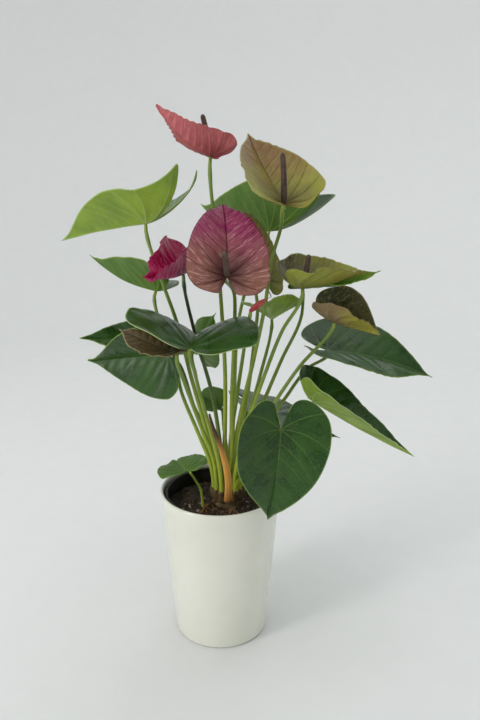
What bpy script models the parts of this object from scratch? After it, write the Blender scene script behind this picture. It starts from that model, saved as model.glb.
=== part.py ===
"""Potted anthurium: a tapered glazed pot, its grow pot and soil, and a plant with
cordate leaves and spathes on long stalks that rise from one crown.

Metres, +Z up. The origin is the centre of the pot's base, where it stands.
"""
import math

import bpy
import bmesh
from mathutils import Matrix, Vector

MM = 0.001

# ---- driving dimensions -----------------------------------------------------
POT_RIM_RADIUS = 65 * MM
POT_BASE_RADIUS = 51.3 * MM
POT_HEIGHT = 166 * MM
POT_WALL = 3.5 * MM
POT_FLOOR = 6 * MM
POT_SEGMENTS = 48

GROW_WALL = 1.2 * MM
GROW_CLEARANCE = 2.0 * MM
GROW_BELOW_RIM = 3 * MM
GROW_TOP = POT_HEIGHT - GROW_BELOW_RIM
GROW_HEIGHT = 118 * MM

SOIL_BELOW_RIM = 18 * MM
SOIL_TOP = POT_HEIGHT - SOIL_BELOW_RIM
SOIL_DEPTH = 80 * MM

CROWN_X = 8 * MM
CROWN_RADIUS = 18.5 * MM
CROWN_HEIGHT = 15 * MM
CROWN_TOP = SOIL_TOP + CROWN_HEIGHT

# The setting out below belongs to a crown with its top at 163 and a radius of 18.5, in
# soil at 148 mm; the plant moves up and down and its roots out and in with the real ones.
PLANT_SHIFT = CROWN_TOP - 163 * MM
ROOT_SHIFT = SOIL_TOP - 148 * MM
ROOT_SPREAD = CROWN_RADIUS - 18.5 * MM

GAP = 0.35 * MM
BLADE_THICKNESS = 0.7 * MM
BLADE_RAYS = 20
BLADE_RINGS = 3
STEM_BASE_RADIUS = 2.3 * MM
STEM_TOP_RADIUS = 1.5 * MM
STEM_STEPS = 14
STEM_LEAD = 7 * MM
STEM_RISE = 9 * MM
RING_RADII = {"inner": CROWN_RADIUS - 13.9 * MM, "middle": CROWN_RADIUS - 8.5 * MM,
              "outer": CROWN_RADIUS - 3.1 * MM}

# Half outlines from the tip to the lobe and back to the stalk: (along / length,
# across / width). Behind the stalk "along" counts in lobe lengths, and each point
# lies nearer the sinus, seen from the stalk, than the one before.
LEAF_OUTLINE = (
    (1.0, 0.0), (0.94, 0.02), (0.86, 0.065), (0.74, 0.16), (0.58, 0.29), (0.4, 0.405),
    (0.2, 0.48), (0.0, 0.5), (-0.45, 0.46), (-0.85, 0.34), (-1.0, 0.22), (-0.88, 0.12),
    (-0.55, 0.065), (-0.2, 0.022))
SPATHE_OUTLINE = (
    (1.0, 0.0), (0.95, 0.03), (0.88, 0.09), (0.76, 0.21), (0.6, 0.335), (0.42, 0.43),
    (0.22, 0.49), (0.02, 0.5), (-0.4, 0.47), (-0.8, 0.37), (-1.0, 0.25), (-0.9, 0.13),
    (-0.55, 0.065), (-0.2, 0.022))
HORNED_OUTLINE = LEAF_OUTLINE[:7] + (
    (0.0, 0.48), (-0.3, 0.41), (-0.6, 0.33), (-0.85, 0.26), (-1.0, 0.2), (-0.8, 0.145),
    (-0.5, 0.083), (-0.2, 0.03))
SPECIAL_OUTLINES = {"leaf_top_left": HORNED_OUTLINE}

# Setting out, in millimetres and degrees. "at" is where the stalk meets the blade;
# bearing and pitch aim the straight line from there to the tip; roll turns the
# blade about that line; arch bends the midrib; fold raises both halves into a
# trough and cup curls them further; lift bends the lobes; twist turns the tip.
LEAVES = {
    "leaf_top_left": dict(at=(-70, 0, 446), bearing=150, pitch=-10, length=115, width=95,
                          roll=10, arch=5, fold=35, cup=5, lobe=0.7, lift=-70),
    "leaf_back_top": dict(at=(52, 50, 435), bearing=125, pitch=10, length=140, width=110,
                          roll=25, arch=-30, fold=55, cup=10, lobe=0.6, lift=-40),
    "leaf_left_upper": dict(at=(-65, 20, 377), bearing=150, pitch=20, length=95, width=85,
                            roll=25, arch=-30, fold=35, cup=-10, lift=-40),
    "leaf_right_back": dict(at=(89, 50, 375), bearing=-15, pitch=15, length=85, width=60,
                            roll=45, arch=-30, fold=45, cup=35, lift=-30, twist=25),
    "leaf_middle_front": dict(at=(56, 50, 341), bearing=-100, pitch=30, length=60, width=75,
                              roll=5, arch=-10, fold=35, cup=-10, lobe=0.35, lift=-45,
                              twist=15),
    "leaf_right": dict(at=(116, 35, 310), bearing=0, pitch=-15, length=120, width=100,
                       roll=15, arch=25, fold=15, cup=5, lift=-15, twist=35),
    "leaf_right_low": dict(at=(97, -10, 267), bearing=5, pitch=-30, length=130, width=85,
                           roll=8, arch=-10, fold=32, cup=5, lobe=0.3, lift=-45),
    "leaf_front": dict(at=(59, -80, 264), bearing=125, pitch=-80, length=105, width=95,
                       roll=-155, arch=35, fold=20, cup=5, lobe=0.3, lift=-10, twist=20),
    "leaf_rim_left": dict(at=(-38, 6, 182), bearing=110, pitch=-10, length=50, width=60,
                          roll=-10, arch=20, fold=10, cup=-5, lobe=0.35, lift=-30),
    "leaf_back_right": dict(at=(34, 72, 237), bearing=-20, pitch=-15, length=110, width=70,
                            roll=-5, arch=-10, fold=5, lift=-10, twist=30),
    "leaf_back_low": dict(at=(-2, 58, 238), bearing=125, pitch=0, length=50, width=40,
                          roll=-40, arch=30, fold=40, cup=-5, lift=-20),
    "leaf_behind_stalks": dict(at=(-27, 84, 298), bearing=-65, pitch=45, length=75, width=60,
                               roll=-75, arch=-15, fold=15, cup=10, lobe=0.35, lift=-15),
    "leaf_left": dict(at=(-51, 60, 306), bearing=-165, pitch=10, length=105, width=80,
                      roll=-10, arch=15, fold=5, cup=20, lift=0, twist=-40),
    "leaf_left_low": dict(at=(-52, -4, 315), bearing=155, pitch=-10, length=105, width=90,
                          roll=-100, arch=-10, fold=25, lift=-30, twist=-15),
    "leaf_centre": dict(at=(-24, -72, 340), bearing=90, pitch=-20, length=90, width=130,
                        roll=10, arch=90, fold=35, cup=-30, lift=-20, twist=-15),
}
SPATHES = {
    "spathe_pink": dict(at=(-6, -10, 508), bearing=-150, pitch=40, length=70, width=65,
                        roll=15, arch=-50, fold=20, lift=-10, twist=-10,
                        spadix=(-13, -12, 545)),
    "spathe_olive": dict(at=(61, -40, 467), bearing=115, pitch=40, length=100, width=85,
                         roll=-5, arch=-15, fold=20, cup=15, lift=-30, twist=5,
                         spadix=(58, -57, 510)),
    "spathe_magenta": dict(at=(10, -80, 407), bearing=95, pitch=45, length=85, width=75,
                           roll=10, arch=40, fold=20, cup=-20, lift=-20, twist=-5,
                           spadix=(8, -93, 429)),
    "spathe_fuchsia": dict(at=(-32, -30, 401), bearing=-115, pitch=5, length=70, width=80,
                           roll=0, arch=-15, fold=50, cup=30, lobe=0.6, lift=0,
                           twist=-30),
    "spathe_green": dict(at=(79, -49, 391), bearing=15, pitch=12, length=65, width=85,
                         roll=5, arch=-20, fold=25, cup=20, lobe=0.55, lift=-70,
                         spadix=(84, -48, 422)),
    "spathe_brown_green": dict(at=(113, -26, 354), bearing=-20, pitch=-10, length=45,
                               width=75, roll=20, arch=-10, fold=45, cup=25, lobe=0.7,
                               lift=-30),
    "spathe_brown": dict(at=(-36, -67, 335), bearing=145, pitch=10, length=75, width=55,
                         roll=5, arch=-15, fold=5, cup=-15, lobe=0.15, lift=-30,
                         twist=-15),
    "spathe_behind": dict(at=(45, 18, 392), bearing=150, pitch=70, length=75, width=50,
                          roll=0, arch=10, fold=20, cup=10, lobe=0.3, lift=-10),
}

# Stalks: the ring and the bearing of the root on the crown, then the points in
# millimetres that the stalk passes on its way to the blade of the same place.
STALKS = {
    "leaf_top_left": ("middle", 182, ((-12, -1, 222), (-29, 0, 290), (-42, -2, 348),
                                      (-55, -9, 392))),
    "leaf_left_upper": ("middle", 145, ((-5, 8, 205), (-28, 11, 255), (-47, 12, 312))),
    "spathe_fuchsia": ("middle", 252, ((1, -6, 213), (-8, 6, 270), (-23, 13, 325),
                                     (-31, -6, 370))),
    "spathe_pink": ("inner", 200, ((5, -2, 215), (6, 2, 289), (3, 6, 355), (-2, 0, 432))),
    "spathe_magenta": ("inner", 280, ((12, -6, 212), (13, -12, 272), (16, -10, 348),
                                       (16, -28, 382))),
    "spathe_olive": ("inner", 340, ((15, -3, 210), (23, -6, 257), (35, -13, 313),
                                    (46, -16, 370), (52, -9, 412), (60, -26, 447))),
    "leaf_middle_front": ("middle", 27, ((20, 6, 201), (31, 12, 244), (43, 20, 287))),
    "spathe_green": ("middle", 315, ((20, -8, 207), (32, -15, 254), (46, -22, 300),
                                     (62, -32, 347))),
    "spathe_brown_green": ("outer", 352, ((32, -5, 218), (57, -14, 268), (81, -20, 308))),
    "leaf_right_back": ("outer", 38, ((23, 11, 199), (43, 20, 247), (66, 32, 300),
                                      (87, 41, 345))),
    "leaf_back_top": ("middle", 65, ((13, 13, 205), (15, 40, 258), (20, 76, 335),
                                     (36, 78, 395))),
    "leaf_right": ("outer", 14, ((27, 6, 193), (45, 13, 226), (70, 24, 259),
                                 (95, 32, 291))),
    "leaf_right_low": ("outer", 326, ((25, -9, 186), (41, -14, 208), (62, -14, 237))),
    "leaf_front": ("outer", 305, ((24, -18, 188), (34, -30, 222), (48, -46, 256))),
    "leaf_back_right": ("outer", 66, ((14, 30, 190), (22, 55, 212))),
    "leaf_back_low": ("outer", 92, ((7, 24, 192), (3, 42, 218))),
    "leaf_behind_stalks": ("outer", 126, ((-2, 15, 193), (-17, 36, 232), (-29, 68, 272))),
    "leaf_left": ("outer", 158, ((-13, 9, 205), (-30, 28, 252), (-44, 52, 286))),
    "leaf_left_low": ("outer", 196, ((-10, -5, 195), (-23, -6, 232), (-39, -4, 275))),
    "leaf_centre": ("outer", 246, ((-1, -15, 200), (-10, -23, 245), (-17, -36, 280),
                                   (-22, -56, 315))),
    "spathe_brown": ("outer", 220, ((-6, -11, 200), (-20, -24, 250), (-32, -48, 300))),
    "spathe_bud": ("inner", 60, ((11, 2, 215), (18, -3, 270), (27, -16, 335))),
    "spathe_behind": ("middle", 350, ((19, 4, 215), (29, 3, 270), (36, -3, 330),
                                      (39, -5, 362))),
}
BUD_BASE = (31, -30, 366)
BUD_TIP = (51, -36, 381)
BUD_RADIUS = 3.2 * MM

ROOTS = (
    ((-9, -12, 153), (-13, -17, 153.5), (-17, -24, 152.5), (-19, -32, 151)),
    ((12, -21, 154), (15, -28, 154), (19, -34, 153), (22, -42, 151.5)),
)
ROOT_RADIUS = 1.3 * MM
SHEATH = ((9, -24, 170), (9, -25, 188), (3, -31, 222), (-5, -35, 247), (-9, -38, 264))
SHEATH_RADIUS = 3.4 * MM


# ---- helpers ----------------------------------------------------------------
def clear_scene():
    for item in list(bpy.data.objects):
        bpy.data.objects.remove(item, do_unlink=True)


def make_material(name, colour, roughness, metallic=0.0):
    material = bpy.data.materials.new(name)
    material.use_nodes = True
    shader = material.node_tree.nodes["Principled BSDF"]
    shader.inputs["Base Color"].default_value = (*colour, 1.0)
    shader.inputs["Roughness"].default_value = roughness
    shader.inputs["Metallic"].default_value = metallic
    return material


def add_object(name, data, material):
    data.materials.append(material)
    item = bpy.data.objects.new(name, data)
    bpy.context.scene.collection.objects.link(item)
    return item


def mesh_from(bm, name):
    mesh = bpy.data.meshes.new(name)
    bmesh.ops.recalc_face_normals(bm, faces=bm.faces)
    bm.to_mesh(mesh)
    bm.free()
    mesh.shade_smooth()
    mesh.set_sharp_from_angle(angle=math.radians(40))
    return mesh


def set_out(spot, shift=PLANT_SHIFT):
    """A point of the setting out in metres, at its height on this plant."""
    return Vector(spot) * MM + Vector((0, 0, shift))


def smooth_point(points, place):
    """The point at place (0 to 1) of a smooth curve through the given points."""
    last = len(points) - 1
    place = min(max(place, 0.0), 1.0) * last
    index = min(int(place), last - 1)
    f = place - index
    p0 = points[max(index - 1, 0)]
    p1 = points[index]
    p2 = points[index + 1]
    p3 = points[min(index + 2, last)]
    return 0.5 * (2 * p1 + (p2 - p0) * f + (2 * p0 - 5 * p1 + 4 * p2 - p3) * f ** 2
                  + (3 * p1 - p0 - 3 * p2 + p3) * f ** 3)


def route_point(points, place):
    """The point at place (0 to 1, by length) of a smooth route through the points."""
    runs = [b - a for a, b in zip(points, points[1:])]
    left = place * sum(run.length for run in runs)
    index = 0
    while index < len(runs) - 1 and left > runs[index].length:
        left -= runs[index].length
        index += 1
    run = runs[index]
    f = min(left / run.length, 1.0)
    before = runs[max(index - 1, 0)].normalized() + run.normalized()
    after = runs[min(index + 1, len(runs) - 1)].normalized() + run.normalized()
    leave = before * (run.length / 2)
    arrive = after * (run.length / 2)
    return (points[index] + leave * f + (3 * run - 2 * leave - arrive) * f ** 2
            + (leave + arrive - 2 * run) * f ** 3)


def arc(length, start, bend):
    """End of an arc of the given length whose angle goes from start by bend."""
    if abs(bend) < 1e-5:
        return Vector((length * math.cos(start), length * math.sin(start)))
    radius = length / bend
    return Vector((radius * (math.sin(start + bend) - math.sin(start)),
                   radius * (math.cos(start) - math.cos(start + bend))))


class Blade:
    """The curved middle surface of a leaf or a spathe."""

    def __init__(self, outline, at, bearing, pitch, length, width, roll, arch, fold, lift,
                 cup=0, lobe=0.25, twist=0, spadix=None):
        self.at = set_out(at)
        self.length = length * MM
        self.width = width * MM
        self.lobe = lobe
        self.arch = math.radians(arch)
        self.fold = math.radians(fold)
        self.cup = math.radians(cup)
        self.lift = math.radians(lift)
        self.twist = math.radians(twist)
        self.outline = [Vector(pair) for pair in outline]
        self.spadix = spadix
        flat = Vector((math.cos(math.radians(bearing)), math.sin(math.radians(bearing)), 0))
        rise = math.radians(pitch)
        self.along = flat * math.cos(rise) + Vector((0, 0, math.sin(rise)))
        level = Vector((0, 0, math.cos(rise))) - flat * math.sin(rise)
        self.up = Matrix.Rotation(math.radians(roll), 3, self.along) @ level
        self.left = self.up.cross(self.along)

    def point(self, x, y):
        """The point x along the midrib and y to its left."""
        start = self.arch / 2
        reach = self.length if x >= 0 else self.lobe * self.length
        bend = (-self.arch if x >= 0 else -self.lift) * x / reach
        run = arc(x, start, bend)
        angle = start + bend
        tangent = math.cos(angle) * self.along + math.sin(angle) * self.up
        normal = math.cos(angle) * self.up - math.sin(angle) * self.along
        turn = Matrix.Rotation(self.twist * x / self.length, 3, tangent)
        normal = turn @ normal
        side = turn @ self.left
        across = arc(abs(y), self.fold, 2 * self.cup * abs(y) / self.width)
        sign = 1 if y >= 0 else -1
        return (self.at + run.x * self.along + run.y * self.up
                + sign * across.x * side + across.y * normal)

    def outline_point(self, t):
        """Outline at t, from -1 (right of the sinus) by 0 (tip) to 1 (left)."""
        pair = smooth_point(self.outline, abs(t))
        x = pair.x * self.length * (1 if pair.x >= 0 else self.lobe)
        return x, pair.y * self.width * (1 if t >= 0 else -1)


def blade_mesh(blade, name):
    """A fan of rays from the stalk's end, rings out to the outline."""
    bm = bmesh.new()
    rows = []
    for ray in range(BLADE_RAYS + 1):
        x, y = blade.outline_point(2 * ray / BLADE_RAYS - 1)
        rows.append([bm.verts.new(blade.point(x * ring / BLADE_RINGS, y * ring / BLADE_RINGS))
                     for ring in range(1, BLADE_RINGS + 1)])
    centre = bm.verts.new(blade.point(0, 0))
    for first, second in zip(rows, rows[1:]):
        bm.faces.new((centre, first[0], second[0]))
        for inner in range(BLADE_RINGS - 1):
            bm.faces.new((first[inner], first[inner + 1], second[inner + 1], second[inner]))
    return mesh_from(bm, name)


def build_blade(name, blade, material):
    item = add_object(name, blade_mesh(blade, name), material)
    shell = item.modifiers.new("thickness", "SOLIDIFY")
    shell.thickness = BLADE_THICKNESS
    shell.offset = 0.0
    return item


def build_tube(name, points, radii, material, steps):
    """A round rod along a smooth curve through the points, closed at both ends."""
    curve = bpy.data.curves.new(name, "CURVE")
    curve.dimensions = "3D"
    curve.bevel_depth = 1.0
    curve.bevel_resolution = 1
    curve.use_fill_caps = True
    spline = curve.splines.new("POLY")
    spline.points.add(steps)
    for step, node in enumerate(spline.points):
        place = step / steps
        node.co = (*route_point(points, place), 1.0)
        node.radius = radii[0] + (radii[1] - radii[0]) * place
    return add_object(name, curve, material)


def build_turned(name, profile, segments, material):
    """A body turned about Z from (radius, height) pairs that start and end on Z."""
    bm = bmesh.new()
    corners = [bm.verts.new((radius, 0, height)) for radius, height in profile]
    edges = [bm.edges.new(pair) for pair in zip(corners, corners[1:])]
    bmesh.ops.spin(bm, geom=corners + edges, cent=(0, 0, 0), axis=(0, 0, 1),
                   angle=2 * math.pi, steps=segments)
    bmesh.ops.remove_doubles(bm, verts=bm.verts, dist=0.00001)
    return add_object(name, mesh_from(bm, name), material)


# ---- pot --------------------------------------------------------------------
def pot_radius(height):
    """Outer radius of the pot's tapered wall at a height."""
    return POT_BASE_RADIUS + (POT_RIM_RADIUS - POT_BASE_RADIUS) * height / POT_HEIGHT


def build_pot(material):
    foot = 2.5 * MM
    lip = POT_WALL / 2
    profile = [(0, 0), (pot_radius(0) - foot, 0), (pot_radius(foot) - 0.3 * foot, 0.3 * foot),
               (pot_radius(foot), foot), (pot_radius(POT_HEIGHT - lip), POT_HEIGHT - lip)]
    middle = POT_RIM_RADIUS - lip
    for step in (1, 2, 3):
        angle = math.pi * step / 4
        profile.append((middle + lip * math.cos(angle), POT_HEIGHT - lip + lip * math.sin(angle)))
    profile += [(pot_radius(POT_HEIGHT - lip) - POT_WALL, POT_HEIGHT - lip),
                (pot_radius(POT_FLOOR + foot) - POT_WALL, POT_FLOOR + foot),
                (pot_radius(POT_FLOOR) - POT_WALL - foot, POT_FLOOR), (0, POT_FLOOR)]
    return build_turned("pot", profile, POT_SEGMENTS, material)


def grow_outer(height):
    return pot_radius(height) - POT_WALL - GROW_CLEARANCE


def build_grow_pot(material):
    bottom = GROW_TOP - GROW_HEIGHT
    floor = bottom + GROW_WALL
    profile = [(0, bottom), (grow_outer(bottom), bottom), (grow_outer(GROW_TOP), GROW_TOP),
               (grow_outer(GROW_TOP) - GROW_WALL, GROW_TOP),
               (grow_outer(floor) - GROW_WALL, floor), (0, floor)]
    return build_turned("grow_pot", profile, POT_SEGMENTS, material)


def build_soil(material):
    bottom = SOIL_TOP - SOIL_DEPTH
    inset = GROW_WALL + GAP
    edge = SOIL_TOP - 2 * MM
    profile = [(0, bottom), (grow_outer(bottom) - inset, bottom),
               (grow_outer(edge) - inset, edge), (40 * MM, SOIL_TOP), (0, SOIL_TOP)]
    return build_turned("soil", profile, POT_SEGMENTS, material)


def build_crown(material):
    base = SOIL_TOP + GAP
    profile = [(0, base), (CROWN_RADIUS * 0.8, base), (CROWN_RADIUS, base + 4 * MM),
               (CROWN_RADIUS, CROWN_TOP - 3 * MM), (CROWN_RADIUS * 0.9, CROWN_TOP),
               (0, CROWN_TOP)]
    crown = build_turned("crown", profile, 20, material)
    crown.location.x = CROWN_X
    return crown


# ---- plant ------------------------------------------------------------------
def stalk_points(name, blade_end):
    """Root on the crown, the points on the way and the end under the blade."""
    ring, bearing, way = STALKS[name]
    angle = math.radians(bearing)
    root = Vector((CROWN_X + RING_RADII[ring] * math.cos(angle),
                   RING_RADII[ring] * math.sin(angle), CROWN_TOP + 2 * GAP))
    rise = root + Vector((0, 0, STEM_RISE))
    return [root, rise] + [set_out(spot) for spot in way] + blade_end


def under_blade(blade):
    """The last two points of a stalk, square to the blade's underside."""
    clear = BLADE_THICKNESS / 2 + 4 * GAP
    normal = (math.cos(blade.arch / 2) * blade.up - math.sin(blade.arch / 2) * blade.along)
    return [blade.at - STEM_LEAD * normal, blade.at - clear * normal]


def build_spadix(name, blade, material):
    """A knobbly finger that stands on the spathe, turned about its own axis."""
    foot = blade.at + 2.2 * MM * blade.up
    tip = set_out(blade.spadix)
    height = (tip - foot).length
    body = 2.9 * MM
    profile = [(0, 0), (0.45 * body, 0), (0.85 * body, 0.12 * height), (body, 0.35 * height),
               (0.85 * body, 0.75 * height), (0.6 * body, 0.95 * height), (0, height)]
    spadix = build_turned(name, profile, 10, material)
    spadix.location = foot
    spadix.rotation_mode = "QUATERNION"
    spadix.rotation_quaternion = (tip - foot).to_track_quat("Z", "Y")
    return spadix


def build_bud(material):
    base = set_out(BUD_BASE)
    axis = set_out(BUD_TIP) - base
    height = axis.length
    profile = [(0, 0), (0.5 * BUD_RADIUS, 0), (BUD_RADIUS, 0.3 * height),
               (0.6 * BUD_RADIUS, 0.7 * height), (0, height)]
    bud = build_turned("spathe_bud", profile, 12, material)
    bud.location = base
    bud.rotation_mode = "QUATERNION"
    bud.rotation_quaternion = axis.to_track_quat("Z", "Y")
    return bud


def build_plant(palette):
    stalk_radii = (STEM_BASE_RADIUS, STEM_TOP_RADIUS)
    for group, outline, body in ((LEAVES, LEAF_OUTLINE, "leaf"), (SPATHES, SPATHE_OUTLINE, None)):
        for name, values in group.items():
            blade = Blade(SPECIAL_OUTLINES.get(name, outline), **values)
            build_blade(name, blade, palette[body or name])
            if name in STALKS:
                build_tube("stalk_" + name, stalk_points(name, under_blade(blade)),
                           stalk_radii, palette["stalk"], STEM_STEPS)
            if blade.spadix:
                build_spadix(name.replace("spathe", "spadix"), blade, palette["spadix"])
    build_bud(palette["bud"])
    bud_end = [set_out(BUD_BASE) - Vector((2, 0, 2)) * MM]
    build_tube("stalk_spathe_bud", stalk_points("spathe_bud", bud_end), stalk_radii,
               palette["stalk"], STEM_STEPS)


def build_roots(palette):
    for index, way in enumerate(ROOTS, start=1):
        away = Vector((way[0][0] * MM - CROWN_X, way[0][1] * MM, 0)).normalized()
        points = [set_out(spot, ROOT_SHIFT) + ROOT_SPREAD * away for spot in way]
        build_tube("root_" + str(index), points, (ROOT_RADIUS, 0.7 * ROOT_RADIUS),
                   palette["root"], 5)
    build_tube("sheath", [set_out(spot) for spot in SHEATH],
               (SHEATH_RADIUS, 0.5 * SHEATH_RADIUS), palette["sheath"], 6)
    build_tube("stalk_leaf_rim_left",
               [set_out(spot) for spot in ((-18, -16, 153), (-20, -18, 171),
                                           (-26, -25, 188), (-30, -30, 197.5))],
               (STEM_TOP_RADIUS, 1.2 * MM), palette["stalk"], 5)


def main():
    clear_scene()
    palette = {
        "pot": make_material("glazed_pot", (0.78, 0.77, 0.7), 0.2),
        "grow": make_material("grow_pot_plastic", (0.02, 0.02, 0.02), 0.45),
        "soil": make_material("soil_mix", (0.05, 0.035, 0.025), 0.95),
        "crown": make_material("crown_skin", (0.3, 0.22, 0.08), 0.6),
        "root": make_material("root_skin", (0.35, 0.2, 0.1), 0.7),
        "sheath": make_material("dried_sheath", (0.65, 0.35, 0.12), 0.6),
        "stalk": make_material("stalk_skin", (0.25, 0.38, 0.08), 0.4),
        "leaf": make_material("leaf_skin", (0.03, 0.1, 0.02), 0.3),
        "spadix": make_material("spadix_skin", (0.09, 0.05, 0.04), 0.6),
        "bud": make_material("bud_skin", (0.6, 0.08, 0.08), 0.4),
        "spathe_pink": make_material("spathe_pink_skin", (0.65, 0.15, 0.18), 0.4),
        "spathe_olive": make_material("spathe_olive_skin", (0.27, 0.22, 0.04), 0.4),
        "spathe_magenta": make_material("spathe_magenta_skin", (0.35, 0.05, 0.12), 0.35),
        "spathe_fuchsia": make_material("spathe_fuchsia_skin", (0.5, 0.01, 0.12), 0.35),
        "spathe_green": make_material("spathe_green_skin", (0.35, 0.38, 0.06), 0.4),
        "spathe_brown_green": make_material("spathe_brown_green_skin", (0.25, 0.22, 0.08), 0.4),
        "spathe_brown": make_material("spathe_brown_skin", (0.25, 0.14, 0.05), 0.4),
        "spathe_behind": make_material("spathe_behind_skin", (0.25, 0.22, 0.05), 0.4),
    }
    build_pot(palette["pot"])
    build_grow_pot(palette["grow"])
    build_soil(palette["soil"])
    build_crown(palette["crown"])
    build_plant(palette)
    build_roots(palette)


main()
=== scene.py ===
"""Looks of the potted anthurium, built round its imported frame.

Every piece stands for CAD nodes of the frame and keeps their places: the pot, its
nursery pot and soil, the crown with its roots and dry sheath, and each leaf and
spathe on its stalk. Metres, +Z up, origin at the centre of the pot's base.
"""

import math
import random

import bmesh
import bpy
from mathutils import Matrix, Vector, noise


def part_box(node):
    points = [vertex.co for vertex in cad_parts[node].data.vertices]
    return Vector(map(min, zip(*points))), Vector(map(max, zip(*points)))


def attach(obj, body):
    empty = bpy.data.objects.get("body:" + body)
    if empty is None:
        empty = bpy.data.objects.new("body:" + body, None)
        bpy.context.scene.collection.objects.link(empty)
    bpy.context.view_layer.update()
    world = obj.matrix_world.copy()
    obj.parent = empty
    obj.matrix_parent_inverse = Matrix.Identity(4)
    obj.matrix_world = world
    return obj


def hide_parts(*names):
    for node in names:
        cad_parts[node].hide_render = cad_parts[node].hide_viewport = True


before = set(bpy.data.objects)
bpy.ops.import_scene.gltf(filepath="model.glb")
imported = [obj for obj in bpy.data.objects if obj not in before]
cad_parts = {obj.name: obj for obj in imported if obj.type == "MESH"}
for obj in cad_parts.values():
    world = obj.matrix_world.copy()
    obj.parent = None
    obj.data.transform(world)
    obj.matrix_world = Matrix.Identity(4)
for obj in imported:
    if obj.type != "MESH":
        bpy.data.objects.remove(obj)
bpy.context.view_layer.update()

bl_info = {
    "name": "Potted anthurium",
    "version": (1, 0, 0),
    "blender": (4, 5, 0),
    "location": "View3D > Sidebar > Anthurium",
    "description": "Builds a potted anthurium with its pot, soil, leaves and spathes",
    "category": "Add Mesh",
}

MM = 0.001
CLOSE = 1e-6
STAGE_RADIUS = 2.6
STAGE_FILLET = 1.2
STAGE_TOP = 3.2
STAGE_DROP = 0.2 * MM
CAMERA_PLACE = (0.0214, -0.643, 0.4885)
CAMERA_TILT = math.radians(74.4)
CAMERA_LENS = 32.5
CAMERA_SENSOR = 36.0
LIGHT_TARGET = (0.0, 0.0, 0.3)


def node_size(node):
    """Width along X, depth along Y and height along Z of a CAD node."""
    low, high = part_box(node)
    return Vector(high) - Vector(low)


def node_top(node):
    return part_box(node)[1][2]


def node_bottom(node):
    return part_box(node)[0][2]


POT_HEIGHT = node_top("pot")
POT_RIM_RADIUS = node_size("pot").x / 2
SOIL_TOP = node_top("soil")
SOIL_RADIUS = node_size("soil").x / 2
GROW_TOP = node_top("grow_pot")
GROW_BOTTOM = node_bottom("grow_pot")
GROW_RADIUS = node_size("grow_pot").x / 2
CROWN_TOP = node_top("crown")
CROWN_RADIUS = node_size("crown").x / 2
CROWN_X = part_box("crown")[0][0] + CROWN_RADIUS

STALK_CLEAR = 0.7 * MM
STALK_LEAD = 7 * MM
STALK_RISE = 9 * MM
STALK_SINK = 3 * MM
SPADIX_RADIUS = 2.9 * MM
RING_RADII = {"inner": 4.6 * MM, "middle": 10 * MM, "outer": 15.4 * MM}
RIM_STALK_SHARE = 0.65
FOOT_HOLLOW = 0.8 * MM
SOIL_LIP = 5 * MM
RIM_STALK = ((-18, -16, 151), (-20, -18, 171), (-26, -25, 188), (-30, -30, 197.5))

# ---- setting out, the same as the CAD model's --------------------------------
# Half outlines from the tip to the lobe and back to the stalk: (along / length,
# across / width). Behind the stalk "along" counts in lobe lengths, and each point
# lies nearer the sinus, seen from the stalk, than the one before.
LEAF_OUTLINE = (
    (1.0, 0.0), (0.94, 0.02), (0.86, 0.065), (0.74, 0.16), (0.58, 0.29), (0.4, 0.405),
    (0.2, 0.48), (0.0, 0.5), (-0.45, 0.46), (-0.85, 0.34), (-1.0, 0.22), (-0.88, 0.12),
    (-0.55, 0.065), (-0.2, 0.022))
SPATHE_OUTLINE = (
    (1.0, 0.0), (0.95, 0.03), (0.88, 0.09), (0.76, 0.21), (0.6, 0.335), (0.42, 0.43),
    (0.22, 0.49), (0.02, 0.5), (-0.4, 0.47), (-0.8, 0.37), (-1.0, 0.25), (-0.9, 0.13),
    (-0.55, 0.065), (-0.2, 0.022))
HORNED_OUTLINE = LEAF_OUTLINE[:7] + (
    (0.0, 0.48), (-0.3, 0.41), (-0.6, 0.33), (-0.85, 0.26), (-1.0, 0.2), (-0.8, 0.145),
    (-0.5, 0.083), (-0.2, 0.03))
SPECIAL_OUTLINES = {"leaf_top_left": HORNED_OUTLINE}

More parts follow.
